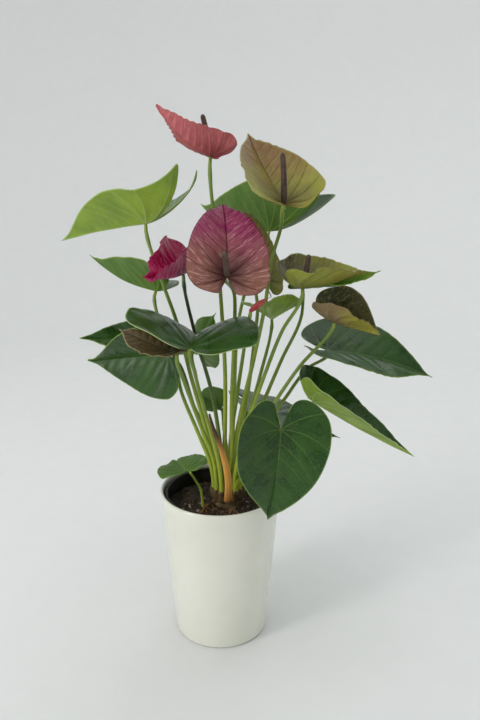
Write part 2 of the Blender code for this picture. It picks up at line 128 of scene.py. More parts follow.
# Setting out, in millimetres and degrees. "at" is where the stalk meets the blade;
# bearing and pitch aim the straight line from there to the tip; roll turns the
# blade about that line; arch bends the midrib; fold raises both halves into a
# trough and cup curls them further; lift bends the lobes; twist turns the tip.
# Many of these values are the rounded results of a fit, and the rest were changed.
LEAVES = {
    "leaf_top_left": dict(at=(-70, 0, 446), bearing=150, pitch=-10, length=115, width=95,
                          roll=10, arch=5, fold=35, cup=5, lobe=0.7, lift=-70),
    "leaf_back_top": dict(at=(52, 50, 435), bearing=125, pitch=10, length=140, width=110,
                          roll=25, arch=-30, fold=55, cup=10, lobe=0.6, lift=-40),
    "leaf_left_upper": dict(at=(-65, 20, 377), bearing=150, pitch=20, length=95, width=85,
                            roll=25, arch=-30, fold=35, cup=-10, lift=-40),
    "leaf_right_back": dict(at=(89, 50, 375), bearing=-15, pitch=15, length=85, width=60,
                            roll=45, arch=-30, fold=45, cup=35, lift=-30, twist=25),
    "leaf_middle_front": dict(at=(56, 50, 341), bearing=-100, pitch=30, length=60, width=75,
                              roll=5, arch=-10, fold=35, cup=-10, lobe=0.35, lift=-45,
                              twist=15),
    "leaf_right": dict(at=(116, 35, 310), bearing=0, pitch=-15, length=120, width=100,
                       roll=15, arch=25, fold=15, cup=5, lift=-15, twist=35),
    "leaf_right_low": dict(at=(97, -10, 267), bearing=5, pitch=-30, length=130, width=85,
                           roll=8, arch=-10, fold=32, cup=5, lobe=0.3, lift=-45),
    "leaf_front": dict(at=(59, -80, 264), bearing=125, pitch=-80, length=105, width=95,
                       roll=-155, arch=35, fold=20, cup=5, lobe=0.3, lift=-10, twist=20),
    "leaf_rim_left": dict(at=(-38, 6, 182), bearing=110, pitch=-10, length=50, width=60,
                          roll=-10, arch=20, fold=10, cup=-5, lobe=0.35, lift=-30),
    "leaf_back_right": dict(at=(34, 72, 237), bearing=-20, pitch=-15, length=110, width=70,
                            roll=-5, arch=-10, fold=5, lift=-10, twist=30),
    "leaf_back_low": dict(at=(-2, 58, 238), bearing=125, pitch=0, length=50, width=40,
                          roll=-40, arch=30, fold=40, cup=-5, lift=-20),
    "leaf_behind_stalks": dict(at=(-27, 84, 298), bearing=-65, pitch=45, length=75, width=60,
                               roll=-75, arch=-15, fold=15, cup=10, lobe=0.35, lift=-15),
    "leaf_left": dict(at=(-51, 60, 306), bearing=-165, pitch=10, length=105, width=80,
                      roll=-10, arch=15, fold=5, cup=20, lift=0, twist=-40),
    "leaf_left_low": dict(at=(-52, -4, 315), bearing=155, pitch=-10, length=105, width=90,
                          roll=-100, arch=-10, fold=25, lift=-30, twist=-15),
    "leaf_centre": dict(at=(-24, -72, 340), bearing=90, pitch=-20, length=90, width=130,
                        roll=10, arch=90, fold=35, cup=-30, lift=-20, twist=-15),
}
SPATHES = {
    "spathe_pink": dict(at=(-6, -10, 508), bearing=-150, pitch=40, length=70, width=65,
                        roll=15, arch=-50, fold=20, lift=-10, twist=-10,
                        spadix=(-13, -12, 545)),
    "spathe_olive": dict(at=(61, -40, 467), bearing=115, pitch=40, length=100, width=85,
                         roll=-5, arch=-15, fold=20, cup=15, lift=-30, twist=5,
                         spadix=(58, -57, 510)),
    "spathe_magenta": dict(at=(10, -80, 407), bearing=95, pitch=45, length=85, width=75,
                           roll=10, arch=40, fold=20, cup=-20, lift=-20, twist=-5,
                           spadix=(8, -93, 429)),
    "spathe_fuchsia": dict(at=(-32, -30, 401), bearing=-115, pitch=5, length=70, width=80,
                           roll=0, arch=-15, fold=50, cup=30, lobe=0.6, lift=0,
                           twist=-30),
    "spathe_green": dict(at=(79, -49, 391), bearing=15, pitch=12, length=65, width=85,
                         roll=5, arch=-20, fold=25, cup=20, lobe=0.55, lift=-70,
                         spadix=(84, -48, 422)),
    "spathe_brown_green": dict(at=(113, -26, 354), bearing=-20, pitch=-10, length=45,
                               width=75, roll=20, arch=-10, fold=45, cup=25, lobe=0.7,
                               lift=-30),
    "spathe_brown": dict(at=(-36, -67, 335), bearing=145, pitch=10, length=75, width=55,
                         roll=5, arch=-15, fold=5, cup=-15, lobe=0.15, lift=-30,
                         twist=-15),
    "spathe_behind": dict(at=(45, 18, 392), bearing=150, pitch=70, length=75, width=50,
                          roll=0, arch=10, fold=20, cup=10, lobe=0.3, lift=-10),
}

# Stalks: the ring and the bearing of the root on the crown, then the points in
# millimetres that the stalk passes on its way to the blade of the same place.
STALKS = {
    "leaf_top_left": ("middle", 182, ((-12, -1, 222), (-29, 0, 290), (-42, -2, 348),
                                      (-55, -9, 392))),
    "leaf_left_upper": ("middle", 145, ((-5, 8, 205), (-28, 11, 255), (-47, 12, 312))),
    "spathe_fuchsia": ("middle", 252, ((1, -6, 213), (-8, 6, 270), (-23, 13, 325),
                                     (-31, -6, 370))),
    "spathe_pink": ("inner", 200, ((5, -2, 215), (6, 2, 289), (3, 6, 355), (-2, 0, 432))),
    "spathe_magenta": ("inner", 280, ((12, -6, 212), (13, -12, 272), (16, -10, 348),
                                       (16, -28, 382))),
    "spathe_olive": ("inner", 340, ((15, -3, 210), (23, -6, 257), (35, -13, 313),
                                    (46, -16, 370), (52, -9, 412), (60, -26, 447))),
    "leaf_middle_front": ("middle", 27, ((20, 6, 201), (31, 12, 244), (43, 20, 287))),
    "spathe_green": ("middle", 315, ((20, -8, 207), (32, -15, 254), (46, -22, 300),
                                     (62, -32, 347))),
    "spathe_brown_green": ("outer", 352, ((32, -5, 218), (57, -14, 268), (81, -20, 308))),
    "leaf_right_back": ("outer", 38, ((23, 11, 199), (43, 20, 247), (66, 32, 300),
                                      (87, 41, 345))),
    "leaf_back_top": ("middle", 65, ((13, 13, 205), (15, 40, 258), (20, 76, 335),
                                     (36, 78, 395))),
    "leaf_right": ("outer", 14, ((27, 6, 193), (45, 13, 226), (70, 24, 259),
                                 (95, 32, 291))),
    "leaf_right_low": ("outer", 326, ((25, -9, 186), (41, -14, 208), (62, -14, 237))),
    "leaf_front": ("outer", 305, ((24, -18, 188), (34, -30, 222), (48, -46, 256))),
    "leaf_back_right": ("outer", 66, ((14, 30, 190), (22, 55, 212))),
    "leaf_back_low": ("outer", 92, ((7, 24, 192), (3, 42, 218))),
    "leaf_behind_stalks": ("outer", 126, ((-2, 15, 193), (-17, 36, 232), (-29, 68, 272))),
    "leaf_left": ("outer", 158, ((-13, 9, 205), (-30, 28, 252), (-44, 52, 286))),
    "leaf_left_low": ("outer", 196, ((-10, -5, 195), (-23, -6, 232), (-39, -4, 275))),
    "leaf_centre": ("outer", 246, ((-1, -15, 200), (-10, -23, 245), (-17, -36, 280),
                                   (-22, -56, 315))),
    "spathe_brown": ("outer", 220, ((-6, -11, 200), (-20, -24, 250), (-32, -48, 300))),
    "spathe_bud": ("inner", 60, ((11, 2, 215), (18, -3, 270), (27, -16, 335))),
    "spathe_behind": ("middle", 350, ((19, 4, 215), (29, 3, 270), (36, -3, 330),
                                      (39, -5, 362))),
}
BUD_BASE = (31, -30, 366)
BUD_TIP = (51, -36, 381)
BUD_RADIUS = 3.2 * MM

ROOTS = (
    ((-9, -12, 153), (-13, -17, 153.5), (-17, -24, 152.5), (-19, -32, 151)),
    ((12, -21, 154), (15, -28, 154), (19, -34, 153), (22, -42, 151.5)),
)
ROOT_RADIUS = 1.3 * MM
SHEATH = ((9, -24, 170), (9, -25, 188), (3, -31, 222), (-5, -35, 247), (-9, -38, 264))
SHEATH_RADIUS = 3.4 * MM

# Upper and under finish of the leaves that aren't deep green with the usual underside.
# The usual underside is painted shade and the "lime" one is painted light from behind.
LEAF_FINISHES = {
    "leaf_top_left": ("fresh", "lime"),
    "leaf_middle_front": ("fresh", "lime"),
    "leaf_right_low": ("deep", "lime"),
    "leaf_front": ("veined", "under"),
    "leaf_rim_left": ("grey", "under"),
    "leaf_centre": ("deep", "lime"),
    "leaf_right_back": ("fresh", "under"),
}

# Colours of each spathe: base at the stalk, tip, pale streaks that are painted glints of the gloss,
# dark throat and veins, and rim.
# A spathe without a "back" is the same on both sides.
SPATHE_LOOKS = {
    "spathe_pink": dict(
        face=dict(base=(0.50, 0.10, 0.12), tip=(0.54, 0.12, 0.13), painted_glint=(0.70, 0.30, 0.30),
                  dark=(0.30, 0.05, 0.06), painted_glint_strength=0.5, roughness=0.34),
        back=dict(base=(0.56, 0.13, 0.14), tip=(0.60, 0.15, 0.16), painted_glint=(0.72, 0.33, 0.31),
                  dark=(0.36, 0.07, 0.07), painted_glint_strength=0.6, roughness=0.42)),
    "spathe_olive": dict(
        face=dict(base=(0.26, 0.26, 0.025), tip=(0.22, 0.115, 0.035), painted_glint=(0.38, 0.34, 0.09),
                  dark=(0.12, 0.085, 0.02), painted_glint_strength=0.5, roughness=0.3,
                  rim=(0.34, 0.28, 0.08))),
    "spathe_magenta": dict(
        face=dict(base=(0.26, 0.105, 0.07), tip=(0.27, 0.012, 0.09), painted_glint=(0.60, 0.28, 0.28),
                  dark=(0.06, 0.012, 0.012), painted_glint_strength=0.8, roughness=0.26)),
    "spathe_fuchsia": dict(
        face=dict(base=(0.46, 0.006, 0.11), tip=(0.52, 0.02, 0.13), painted_glint=(0.72, 0.12, 0.30),
                  dark=(0.16, 0.004, 0.04), painted_glint_strength=0.5, roughness=0.24)),
    "spathe_green": dict(
        face=dict(base=(0.10, 0.09, 0.035), tip=(0.24, 0.24, 0.025), painted_glint=(0.36, 0.32, 0.13),
                  dark=(0.035, 0.035, 0.012), painted_glint_strength=0.5, roughness=0.32,
                  rim=(0.36, 0.38, 0.10)),
        back=dict(base=(0.25, 0.27, 0.04), tip=(0.29, 0.25, 0.03), painted_glint=(0.40, 0.40, 0.13),
                  dark=(0.15, 0.16, 0.03), painted_glint_strength=0.5, roughness=0.4)),
    "spathe_brown_green": dict(
        face=dict(base=(0.05, 0.055, 0.015), tip=(0.09, 0.08, 0.02), painted_glint=(0.26, 0.24, 0.09),
                  dark=(0.02, 0.02, 0.008), painted_glint_strength=0.8, roughness=0.3,
                  rim=(0.28, 0.23, 0.09)),
        back=dict(base=(0.24, 0.17, 0.08), tip=(0.32, 0.30, 0.03), painted_glint=(0.32, 0.21, 0.13),
                  dark=(0.18, 0.12, 0.06), painted_glint_strength=0.5, roughness=0.4)),
    "spathe_brown": dict(
        face=dict(base=(0.09, 0.05, 0.025), tip=(0.11, 0.07, 0.03), painted_glint=(0.20, 0.12, 0.07),
                  dark=(0.05, 0.025, 0.015), painted_glint_strength=0.5, roughness=0.3,
                  rim=(0.44, 0.40, 0.20)),
        back=dict(base=(0.22, 0.20, 0.06), tip=(0.28, 0.24, 0.08), painted_glint=(0.32, 0.28, 0.12),
                  dark=(0.14, 0.10, 0.05), painted_glint_strength=0.5, roughness=0.42)),
    "spathe_behind": dict(
        face=dict(base=(0.22, 0.22, 0.035), tip=(0.22, 0.17, 0.04), painted_glint=(0.32, 0.32, 0.10),
                  dark=(0.12, 0.12, 0.03), painted_glint_strength=0.5, roughness=0.34)),
}

# Height of the ruffles on the rim of a spathe that isn't nearly even.
WAVES = {"spathe_fuchsia": 4.5 * MM, "spathe_brown_green": 2 * MM, "spathe_green": 1.8 * MM}


# ---- settings ---------------------------------------------------------------
def length(name, description, default):
    return bpy.props.FloatProperty(name=name, description=description, default=default,
                                   min=0.0, unit="LENGTH", precision=5)


def colour(name, description, default):
    return bpy.props.FloatVectorProperty(name=name, description=description, size=3,
                                         default=default, min=0.0, max=1.0,
                                         subtype="COLOR")


def count(name, description, default):
    return bpy.props.IntProperty(name=name, description=description, default=default, min=1)


def factor(name, description, default):
    return bpy.props.FloatProperty(name=name, description=description, default=default,
                                   min=0.0, soft_max=1.0, subtype="FACTOR")


def power(name, description, default):
    return bpy.props.FloatProperty(name=name, description=description, default=default,
                                   min=0.0, unit="POWER")


class PotSettings(bpy.types.PropertyGroup):
    base_radius: length("Base radius", "Radius of the pot where it stands", 51.3 * MM)
    wall: length("Wall", "Thickness of the pot's wall", 3.5 * MM)
    floor: length("Floor", "Thickness of the pot's floor", 6 * MM)
    foot: length("Foot", "Radius of the rounding round the foot", 2.5 * MM)
    grow_wall: length("Nursery pot wall", "Thickness of the inner pot's wall", 1.2 * MM)
    segments: count("Segments", "Steps round the turned pots", 144)
    glaze: colour("Glaze", "Colour of the glazed pot", (0.82, 0.81, 0.72))
    glaze_shade: colour("Glaze shade", "Colour where the glaze is thicker", (0.75, 0.76, 0.65))
    plastic: colour("Plastic", "Colour of the nursery pot", (0.018, 0.019, 0.018))


class SoilSettings(bpy.types.PropertyGroup):
    crumbs: count("Crumbs", "Loose pieces lying on the soil", 520)
    crumb_size: length("Crumb size", "Usual size of a crumb", 2.2 * MM)
    dark: colour("Dark", "Colour of damp peat", (0.018, 0.012, 0.008))
    bark: colour("Bark", "Colour of bark pieces", (0.11, 0.065, 0.035))
    pale: colour("Pale", "Colour of pale mineral grains", (0.42, 0.38, 0.30))
    root: colour("Root", "Colour of dry roots", (0.40, 0.18, 0.06))
    crown: colour("Crown", "Colour of the crown's skin", (0.25, 0.17, 0.055))
    sheath: colour("Sheath", "Colour of the dried sheath", (0.70, 0.29, 0.05))


class StalkSettings(bpy.types.PropertyGroup):
    base_radius: length("Base radius", "Radius of a stalk above the crown", 2.5 * MM)
    top_radius: length("Top radius", "Radius of a stalk under its blade", 1.55 * MM)
    sides: count("Sides", "Steps round a stalk", 14)
    steps: count("Steps", "Rings along a stalk", 44)
    green: colour("Green", "Colour of a leaf's stalk", (0.17, 0.26, 0.035))
    young: colour("Young", "Colour near the crown", (0.44, 0.52, 0.05))
    dark: colour("Dark", "Colour of the stalk under the fuchsia spathe", (0.06, 0.10, 0.045))


class LeafSettings(bpy.types.PropertyGroup):
    thickness: length("Thickness", "Thickness of a leaf or spathe", 0.7 * MM)
    rays: count("Rays", "Steps round a blade's outline", 120)
    rings: count("Rings", "Steps from the stalk to the outline", 34)
    deep: colour("Deep green", "Upper side of a mature leaf", (0.006, 0.040, 0.002))
    mid: colour("Mid green", "Lighter upper side", (0.035, 0.11, 0.010))
    under: colour("Underside", "Underside in shade", (0.10, 0.19, 0.035))
    lime: colour("Lime", "Underside lit from behind", (0.27, 0.40, 0.035))
    grey: colour("Grey green", "Old leaf at the rim", (0.09, 0.14, 0.09))
    vein: colour("Vein", "Pale veins", (0.22, 0.34, 0.07))
    pale: colour("Pale vein", "Whitish veins of a lime underside", (0.50, 0.60, 0.30))
    gloss: factor("Roughness", "Roughness of a leaf's waxy face", 0.24)


class StageSettings(bpy.types.PropertyGroup):
    floor: colour("Floor", "Colour of the floor", (0.80, 0.80, 0.79))
    sky: colour("Sky", "Colour of the light from above the backdrop", (0.93, 0.98, 1.0))
    ambient: factor("Ambient", "Strength of the light from above the backdrop", 0.72)
    key: power("Key light", "Power of the key light", 15.0)
    back: power("Back light", "Power of the back light", 10.0)
    top: power("Top light", "Power of the top light", 8.0)


# ---- node helpers -----------------------------------------------------------
class Tree:
    """Short ways to add and join nodes in one node tree."""

    def __init__(self, tree):
        self.tree = tree

    def add(self, kind, inputs=None, **values):
        item = self.tree.nodes.new(kind)
        for name, value in values.items():
            setattr(item, name, value)
        for key, value in (inputs or {}).items():
            self.feed(item.inputs[key], value)
        return item

    def feed(self, socket, value):
        if isinstance(value, bpy.types.NodeSocket):
            self.tree.links.new(value, socket)
        elif isinstance(value, (tuple, list, Vector)) or hasattr(value, "hsv"):
            value = tuple(value)
            wide = socket.type == "RGBA" and len(value) == 3
            socket.default_value = (*value, 1.0) if wide else value
        else:
            socket.default_value = value

    def math(self, operation, first, second=0.0, third=None, clamp=False):
        item = self.add("ShaderNodeMath", {0: first, 1: second}, operation=operation,
                        use_clamp=clamp)
        if third is not None:
            self.feed(item.inputs[2], third)
        return item.outputs[0]

    def span(self, value, low, high, start=0.0, end=1.0):
        item = self.add("ShaderNodeMapRange", {"Value": value, "From Min": low,
                                               "From Max": high, "To Min": start,
                                               "To Max": end}, interpolation_type="SMOOTHSTEP")
        return item.outputs["Result"]

    def blend(self, amount, first, second, kind="MIX"):
        item = self.add("ShaderNodeMix", data_type="RGBA", blend_type=kind)
        self.feed(item.inputs["Factor"], amount)
        self.feed(item.inputs["A"], first)
        self.feed(item.inputs["B"], second)
        return item.outputs["Result"]

    def noise(self, place, scale, detail=3.0, roughness=0.55):
        item = self.add("ShaderNodeTexNoise", {"Vector": place, "Scale": scale,
                                               "Detail": detail, "Roughness": roughness})
        return item.outputs["Fac"]

    def group(self, group, inputs):
        item = self.add("ShaderNodeGroup", node_tree=group)
        for key, value in inputs.items():
            self.feed(item.inputs[key], value)
        return item.outputs


def new_group(name, inputs, outputs):
    """An empty node group with named sockets, and its input and output nodes."""
    group = bpy.data.node_groups.new(name, "ShaderNodeTree")
    for label, kind, default in inputs:
        socket = group.interface.new_socket(label, in_out="INPUT",
                                            socket_type="NodeSocket" + kind)
        if default is not None:
            socket.default_value = default
    for label, kind in outputs:
        group.interface.new_socket(label, in_out="OUTPUT", socket_type="NodeSocket" + kind)
    tree = Tree(group)
    return tree, tree.add("NodeGroupInput").outputs, tree.add("NodeGroupOutput").inputs


VEIN_SLANT = 0.55
VEIN_ARCH = 0.9
VEIN_SPACING = 0.125
BASAL_ANGLE = math.atan2(1, VEIN_SLANT)
BASAL_STEP = math.radians(34)


def vein_group():
    """Pattern of a heart-shaped blade, from its flat place (along, across) in lengths.

    Vein is 1 on the midrib and side veins, Streak is fine colour streaking that runs
    along the veins and places a spathe's painted glints, and Reach is the distance from the stalk.
    """
    if "heart veins" in bpy.data.node_groups:
        return bpy.data.node_groups["heart veins"]
    tree, given, result = new_group(
        "heart veins",
        (("Place", "Vector", None), ("Spacing", "Float", 0.13), ("Width", "Float", 0.008)),
        (("Vein", "Float"), ("Streak", "Float"), ("Reach", "Float")))
    parts = tree.add("ShaderNodeSeparateXYZ", {0: given["Place"]}).outputs
    along = parts["X"]
    across = tree.math("ABSOLUTE", parts["Y"])
    bent = tree.math("SUBTRACT", along,
                     tree.math("MULTIPLY", tree.math("POWER", across, 2.0), VEIN_ARCH))
    start = tree.math("MULTIPLY_ADD", across, -VEIN_SLANT, bent)
    reach = tree.math("SQRT", tree.math("ADD", tree.math("POWER", along, 2.0),
                                        tree.math("POWER", across, 2.0)))
    angle = tree.math("ARCTAN2", across, bent)
    lobe_phase = tree.math("DIVIDE", tree.math("SUBTRACT", BASAL_ANGLE, angle), BASAL_STEP)
    side_phase = tree.math("DIVIDE", start, given["Spacing"])
    forward = tree.math("GREATER_THAN", start, 0.0)

    def pick(ahead, behind):
        item = tree.add("ShaderNodeMix", {"Factor": forward, "A": behind, "B": ahead},
                        data_type="FLOAT")
        return item.outputs["Result"]

    phase = pick(side_phase, lobe_phase)
    away = tree.math("PINGPONG", phase, 0.5)
    size = pick(given["Spacing"], tree.math("MULTIPLY", reach, BASAL_STEP))
    thin = tree.math("MULTIPLY", given["Width"], tree.math("SUBTRACT", 1.15, reach))
    side_vein = tree.span(tree.math("MULTIPLY", away, size), thin, 0.0)
    side_vein = tree.math("MULTIPLY", side_vein, tree.span(reach, 1.0, 0.1, 0.35, 1.0))
    rib_width = tree.math("MULTIPLY", given["Width"],
                          tree.math("MULTIPLY_ADD", along, -1.6, 2.2))
    rib = tree.math("MULTIPLY", tree.span(across, rib_width, 0.0),
                    tree.math("GREATER_THAN", along, -0.02))
    hub = tree.span(reach, tree.math("MULTIPLY", given["Width"], 3.5), 0.0)
    vein = tree.math("MAXIMUM", tree.math("MAXIMUM", side_vein, rib), hub)
    tree.feed(result["Vein"], vein)
    lanes = tree.add("ShaderNodeCombineXYZ", {"X": tree.math("MULTIPLY", phase, 3.2),
                                              "Y": tree.math("MULTIPLY", reach, 3.0),
                                              "Z": parts["Y"]}).outputs[0]
    tree.feed(result["Streak"], tree.noise(lanes, 2.6, 4.0, 0.6))
    tree.feed(result["Reach"], reach)
    return tree.tree


def mottle_group():
    """Cloudy change of tone and fine grain, from object coordinates."""
    if "mottle" in bpy.data.node_groups:
        return bpy.data.node_groups["mottle"]
    tree, given, result = new_group(
        "mottle", (("Place", "Vector", None), ("Cloud Scale", "Float", 40.0),
                   ("Grain Scale", "Float", 900.0)),
        (("Cloud", "Float"), ("Grain", "Float")))
    cloud = tree.noise(given["Place"], given["Cloud Scale"], 3.0)
    tree.feed(result["Cloud"], tree.span(cloud, 0.3, 0.7))
    tree.feed(result["Grain"], tree.noise(given["Place"], given["Grain Scale"], 2.0, 0.5))
    return tree.tree


def new_material(name):
    """A material with an empty look, its tree and its Principled shader's inputs."""
    material = bpy.data.materials.new(name)
    material.use_nodes = True
    tree = Tree(material.node_tree)
    shader = material.node_tree.nodes["Principled BSDF"]
    return material, tree, shader.inputs


def object_place(tree):
    return tree.add("ShaderNodeTexCoord").outputs["Object"]


def mottle_at(tree, place, cloud_scale, grain_scale):
    return tree.group(mottle_group(), {"Place": place, "Cloud Scale": cloud_scale,
                                       "Grain Scale": grain_scale})


def uv_place(tree, uv_map):
    return tree.add("ShaderNodeUVMap", uv_map=uv_map).outputs[0]


def split(tree, place):
    return tree.add("ShaderNodeSeparateXYZ", {0: place}).outputs


def stretched(tree, place, scale):
    return tree.add("ShaderNodeMapping", {"Vector": place, "Scale": scale}).outputs[0]


def bump(tree, height, distance, strength=1.0):
    return tree.add("ShaderNodeBump", {"Height": height, "Distance": distance,
                                       "Strength": strength}).outputs["Normal"]


# ---- finishes ---------------------------------------------------------------
def glaze_material(pot):
    """Cream glaze: cloudy tone, faint specks and a soft unevenness in the gloss."""
    material, tree, look = new_material("cream_glaze")
    place = object_place(tree)
    mottle = mottle_at(tree, place, 14.0, 700.0)
    base = tree.blend(mottle["Cloud"], pot.glaze, pot.glaze_shade)
    specks = tree.span(mottle["Grain"], 0.72, 0.8)
    tree.feed(look["Base Color"], tree.blend(tree.math("MULTIPLY", specks, 0.35), base,
                                             (0.45, 0.40, 0.30)))
    tree.feed(look["Roughness"], tree.span(mottle["Cloud"], 0.0, 1.0, 0.13, 0.24))
    look["Coat Weight"].default_value = 0.8
    look["Coat Roughness"].default_value = 0.05
    ripple = tree.noise(place, 22.0, 2.0)
    tree.feed(look["Normal"], bump(tree, ripple, 0.5 * MM, 0.25))
    return material


def plastic_material(pot):
    """Black nursery pot: fine moulded grain, scuffs and dried splashes of soil."""
    material, tree, look = new_material("nursery_plastic")
    place = object_place(tree)
    mottle = mottle_at(tree, place, 55.0, 1400.0)
    dust = tree.span(mottle["Cloud"], 0.55, 1.0, 0.0, 0.35)
    tree.feed(look["Base Color"], tree.blend(dust, pot.plastic, (0.09, 0.07, 0.05)))
    tree.feed(look["Roughness"], tree.span(mottle["Cloud"], 0.0, 1.0, 0.35, 0.6))
    tree.feed(look["Normal"], bump(tree, mottle["Grain"], 0.2 * MM, 0.5))
    return material


def soil_material(soil):
    """Dark mix: each crumb's tone is stored in the mesh, with fibres and damp spots."""
    material, tree, look = new_material("potting_mix")
    place = object_place(tree)
    tone = tree.add("ShaderNodeAttribute", attribute_name="tone").outputs["Fac"]
    mottle = mottle_at(tree, place, 160.0, 1500.0)
    ground = tree.blend(tree.math("MULTIPLY", mottle["Cloud"], 0.55), soil.dark, soil.bark)
    bark = tree.blend(tree.span(tone, 0.35, 0.7), ground, soil.bark)
    tree.feed(look["Base Color"], tree.blend(tree.span(tone, 0.86, 0.95), bark, soil.pale))
    tree.feed(look["Roughness"], tree.span(mottle["Cloud"], 0.0, 1.0, 0.7, 0.98))
    tree.feed(look["Normal"], bump(tree, mottle["Grain"], 0.5 * MM, 0.9))
    return material


def bark_material(name, light, dark, ring_scale):
    """Crown and root skin: rings across, rough grain and darker hollows."""
    material, tree, look = new_material(name)
    place = object_place(tree)
    mottle = mottle_at(tree, place, 120.0, 1100.0)
    rings = tree.noise(stretched(tree, place, (0.3, 0.3, 1.0)), ring_scale, 3.0)
    shade = tree.math("MULTIPLY", tree.span(rings, 0.35, 0.65), mottle["Cloud"])
    tree.feed(look["Base Color"], tree.blend(shade, dark, light))
    tree.feed(look["Roughness"], tree.span(mottle["Grain"], 0.3, 0.7, 0.55, 0.85))
    height = tree.math("ADD", rings, tree.math("MULTIPLY", mottle["Grain"], 0.4))
    tree.feed(look["Normal"], bump(tree, height, 0.8 * MM, 0.9))
    return material


def sheath_material(soil):
    """Papery sheath: fibres along it, dark brown at the torn top."""
    material, tree, look = new_material("dry_sheath")
    uv = uv_place(tree, "along")
    parts = split(tree, uv)
    lanes = stretched(tree, uv, (26.0, 2.4, 1.0))
    fibre = tree.noise(lanes, 1.0, 4.0, 0.65)
    top = tree.span(tree.math("ADD", parts["Y"], tree.math("MULTIPLY", fibre, 0.3)), 0.62, 0.95)
    base = tree.blend(tree.span(fibre, 0.35, 0.65), soil.sheath, (0.82, 0.44, 0.09))
    foot = tree.span(parts["Y"], 0.2, 0.0)
    base = tree.blend(tree.math("MULTIPLY", foot, 0.7), base, (0.30, 0.11, 0.03))
    tree.feed(look["Base Color"], tree.blend(top, base, (0.10, 0.045, 0.02)))
    tree.feed(look["Roughness"], tree.span(fibre, 0.2, 0.8, 0.42, 0.7))
    tree.feed(look["Normal"], bump(tree, fibre, 0.6 * MM, 0.8))
    return material


def stalk_material(name, upper, lower):
    """Living stalk: paler near the crown, faint lengthwise ribs and small scars."""
    material, tree, look = new_material(name)
    uv = uv_place(tree, "along")
    parts = split(tree, uv)
    place = object_place(tree)
    mottle = mottle_at(tree, place, 60.0, 900.0)
    lanes = stretched(tree, uv, (9.0, 3.0, 1.0))
    ribs = tree.noise(lanes, 1.3, 2.0)
    height = tree.math("ADD", parts["Y"], tree.math("MULTIPLY", mottle["Cloud"], 0.12))
    base = tree.blend(tree.span(height, 0.2, 0.85), lower, upper)
    base = tree.blend(tree.math("MULTIPLY", ribs, 0.45), base, upper)
    knee = tree.span(parts["Y"], 0.93, 1.0, 0.0, 0.6)
    base = tree.blend(knee, base, lower)
    scars = tree.span(mottle["Grain"], 0.68, 0.78, 0.0, 0.5)
    tree.feed(look["Base Color"], tree.blend(scars, base, (0.16, 0.10, 0.03)))
    tree.feed(look["Roughness"], tree.span(mottle["Cloud"], 0.0, 1.0, 0.3, 0.46))
    look["Subsurface Weight"].default_value = 0.08
    look["Subsurface Scale"].default_value = 2 * MM
    tree.feed(look["Normal"], bump(tree, ribs, 0.35 * MM, 0.6))
    return material


def leaf_material(name, base, light, vein, vein_strength, roughness, sheen_side):
    """Leaf skin: veins and quilted panels between them, a waxy gloss and a thin pale rim."""
    material, tree, look = new_material(name)
    flat = uv_place(tree, "flat")
    edge = split(tree, uv_place(tree, "edge"))["X"]
    veins = tree.group(vein_group(), {"Place": flat, "Spacing": VEIN_SPACING, "Width": 0.0075})
    mottle = mottle_at(tree, object_place(tree), 34.0, 1300.0)
    patch = tree.math("MULTIPLY_ADD", mottle["Cloud"], 0.7,
                      tree.math("MULTIPLY", veins["Streak"], 0.3))
    body = tree.blend(tree.span(patch, 0.1, 0.9, 0.0, 0.5), base, light)
    net = tree.add("ShaderNodeTexVoronoi", {"Vector": flat, "Scale": 46.0},
                   feature="DISTANCE_TO_EDGE").outputs["Distance"]
    mesh = tree.span(net, 0.09, 0.0, 0.0, 0.16)
    body = tree.blend(mesh, body, vein)
    body = tree.blend(tree.math("MULTIPLY", veins["Vein"], vein_strength), body, vein)
    rim = tree.span(edge, 0.975, 0.995, 0.0, 0.7)
    tree.feed(look["Base Color"], tree.blend(rim, body, vein))
    tree.feed(look["Roughness"], tree.span(mottle["Cloud"], 0.0, 1.0, roughness,
                                           roughness + 0.14))
    look["Specular IOR Level"].default_value = 0.28 if sheen_side else 0.2
    look["Coat Weight"].default_value = 0.1 if sheen_side else 0.0
    look["Coat Roughness"].default_value = 0.12
    height = tree.math("MULTIPLY_ADD", veins["Vein"], -0.5 if sheen_side else 0.8,
                       tree.math("MULTIPLY_ADD", net, 0.5,
                                 tree.math("MULTIPLY", mottle["Grain"], 0.12)))
    tree.feed(look["Normal"], bump(tree, height, 0.35 * MM, 0.55))
    return material


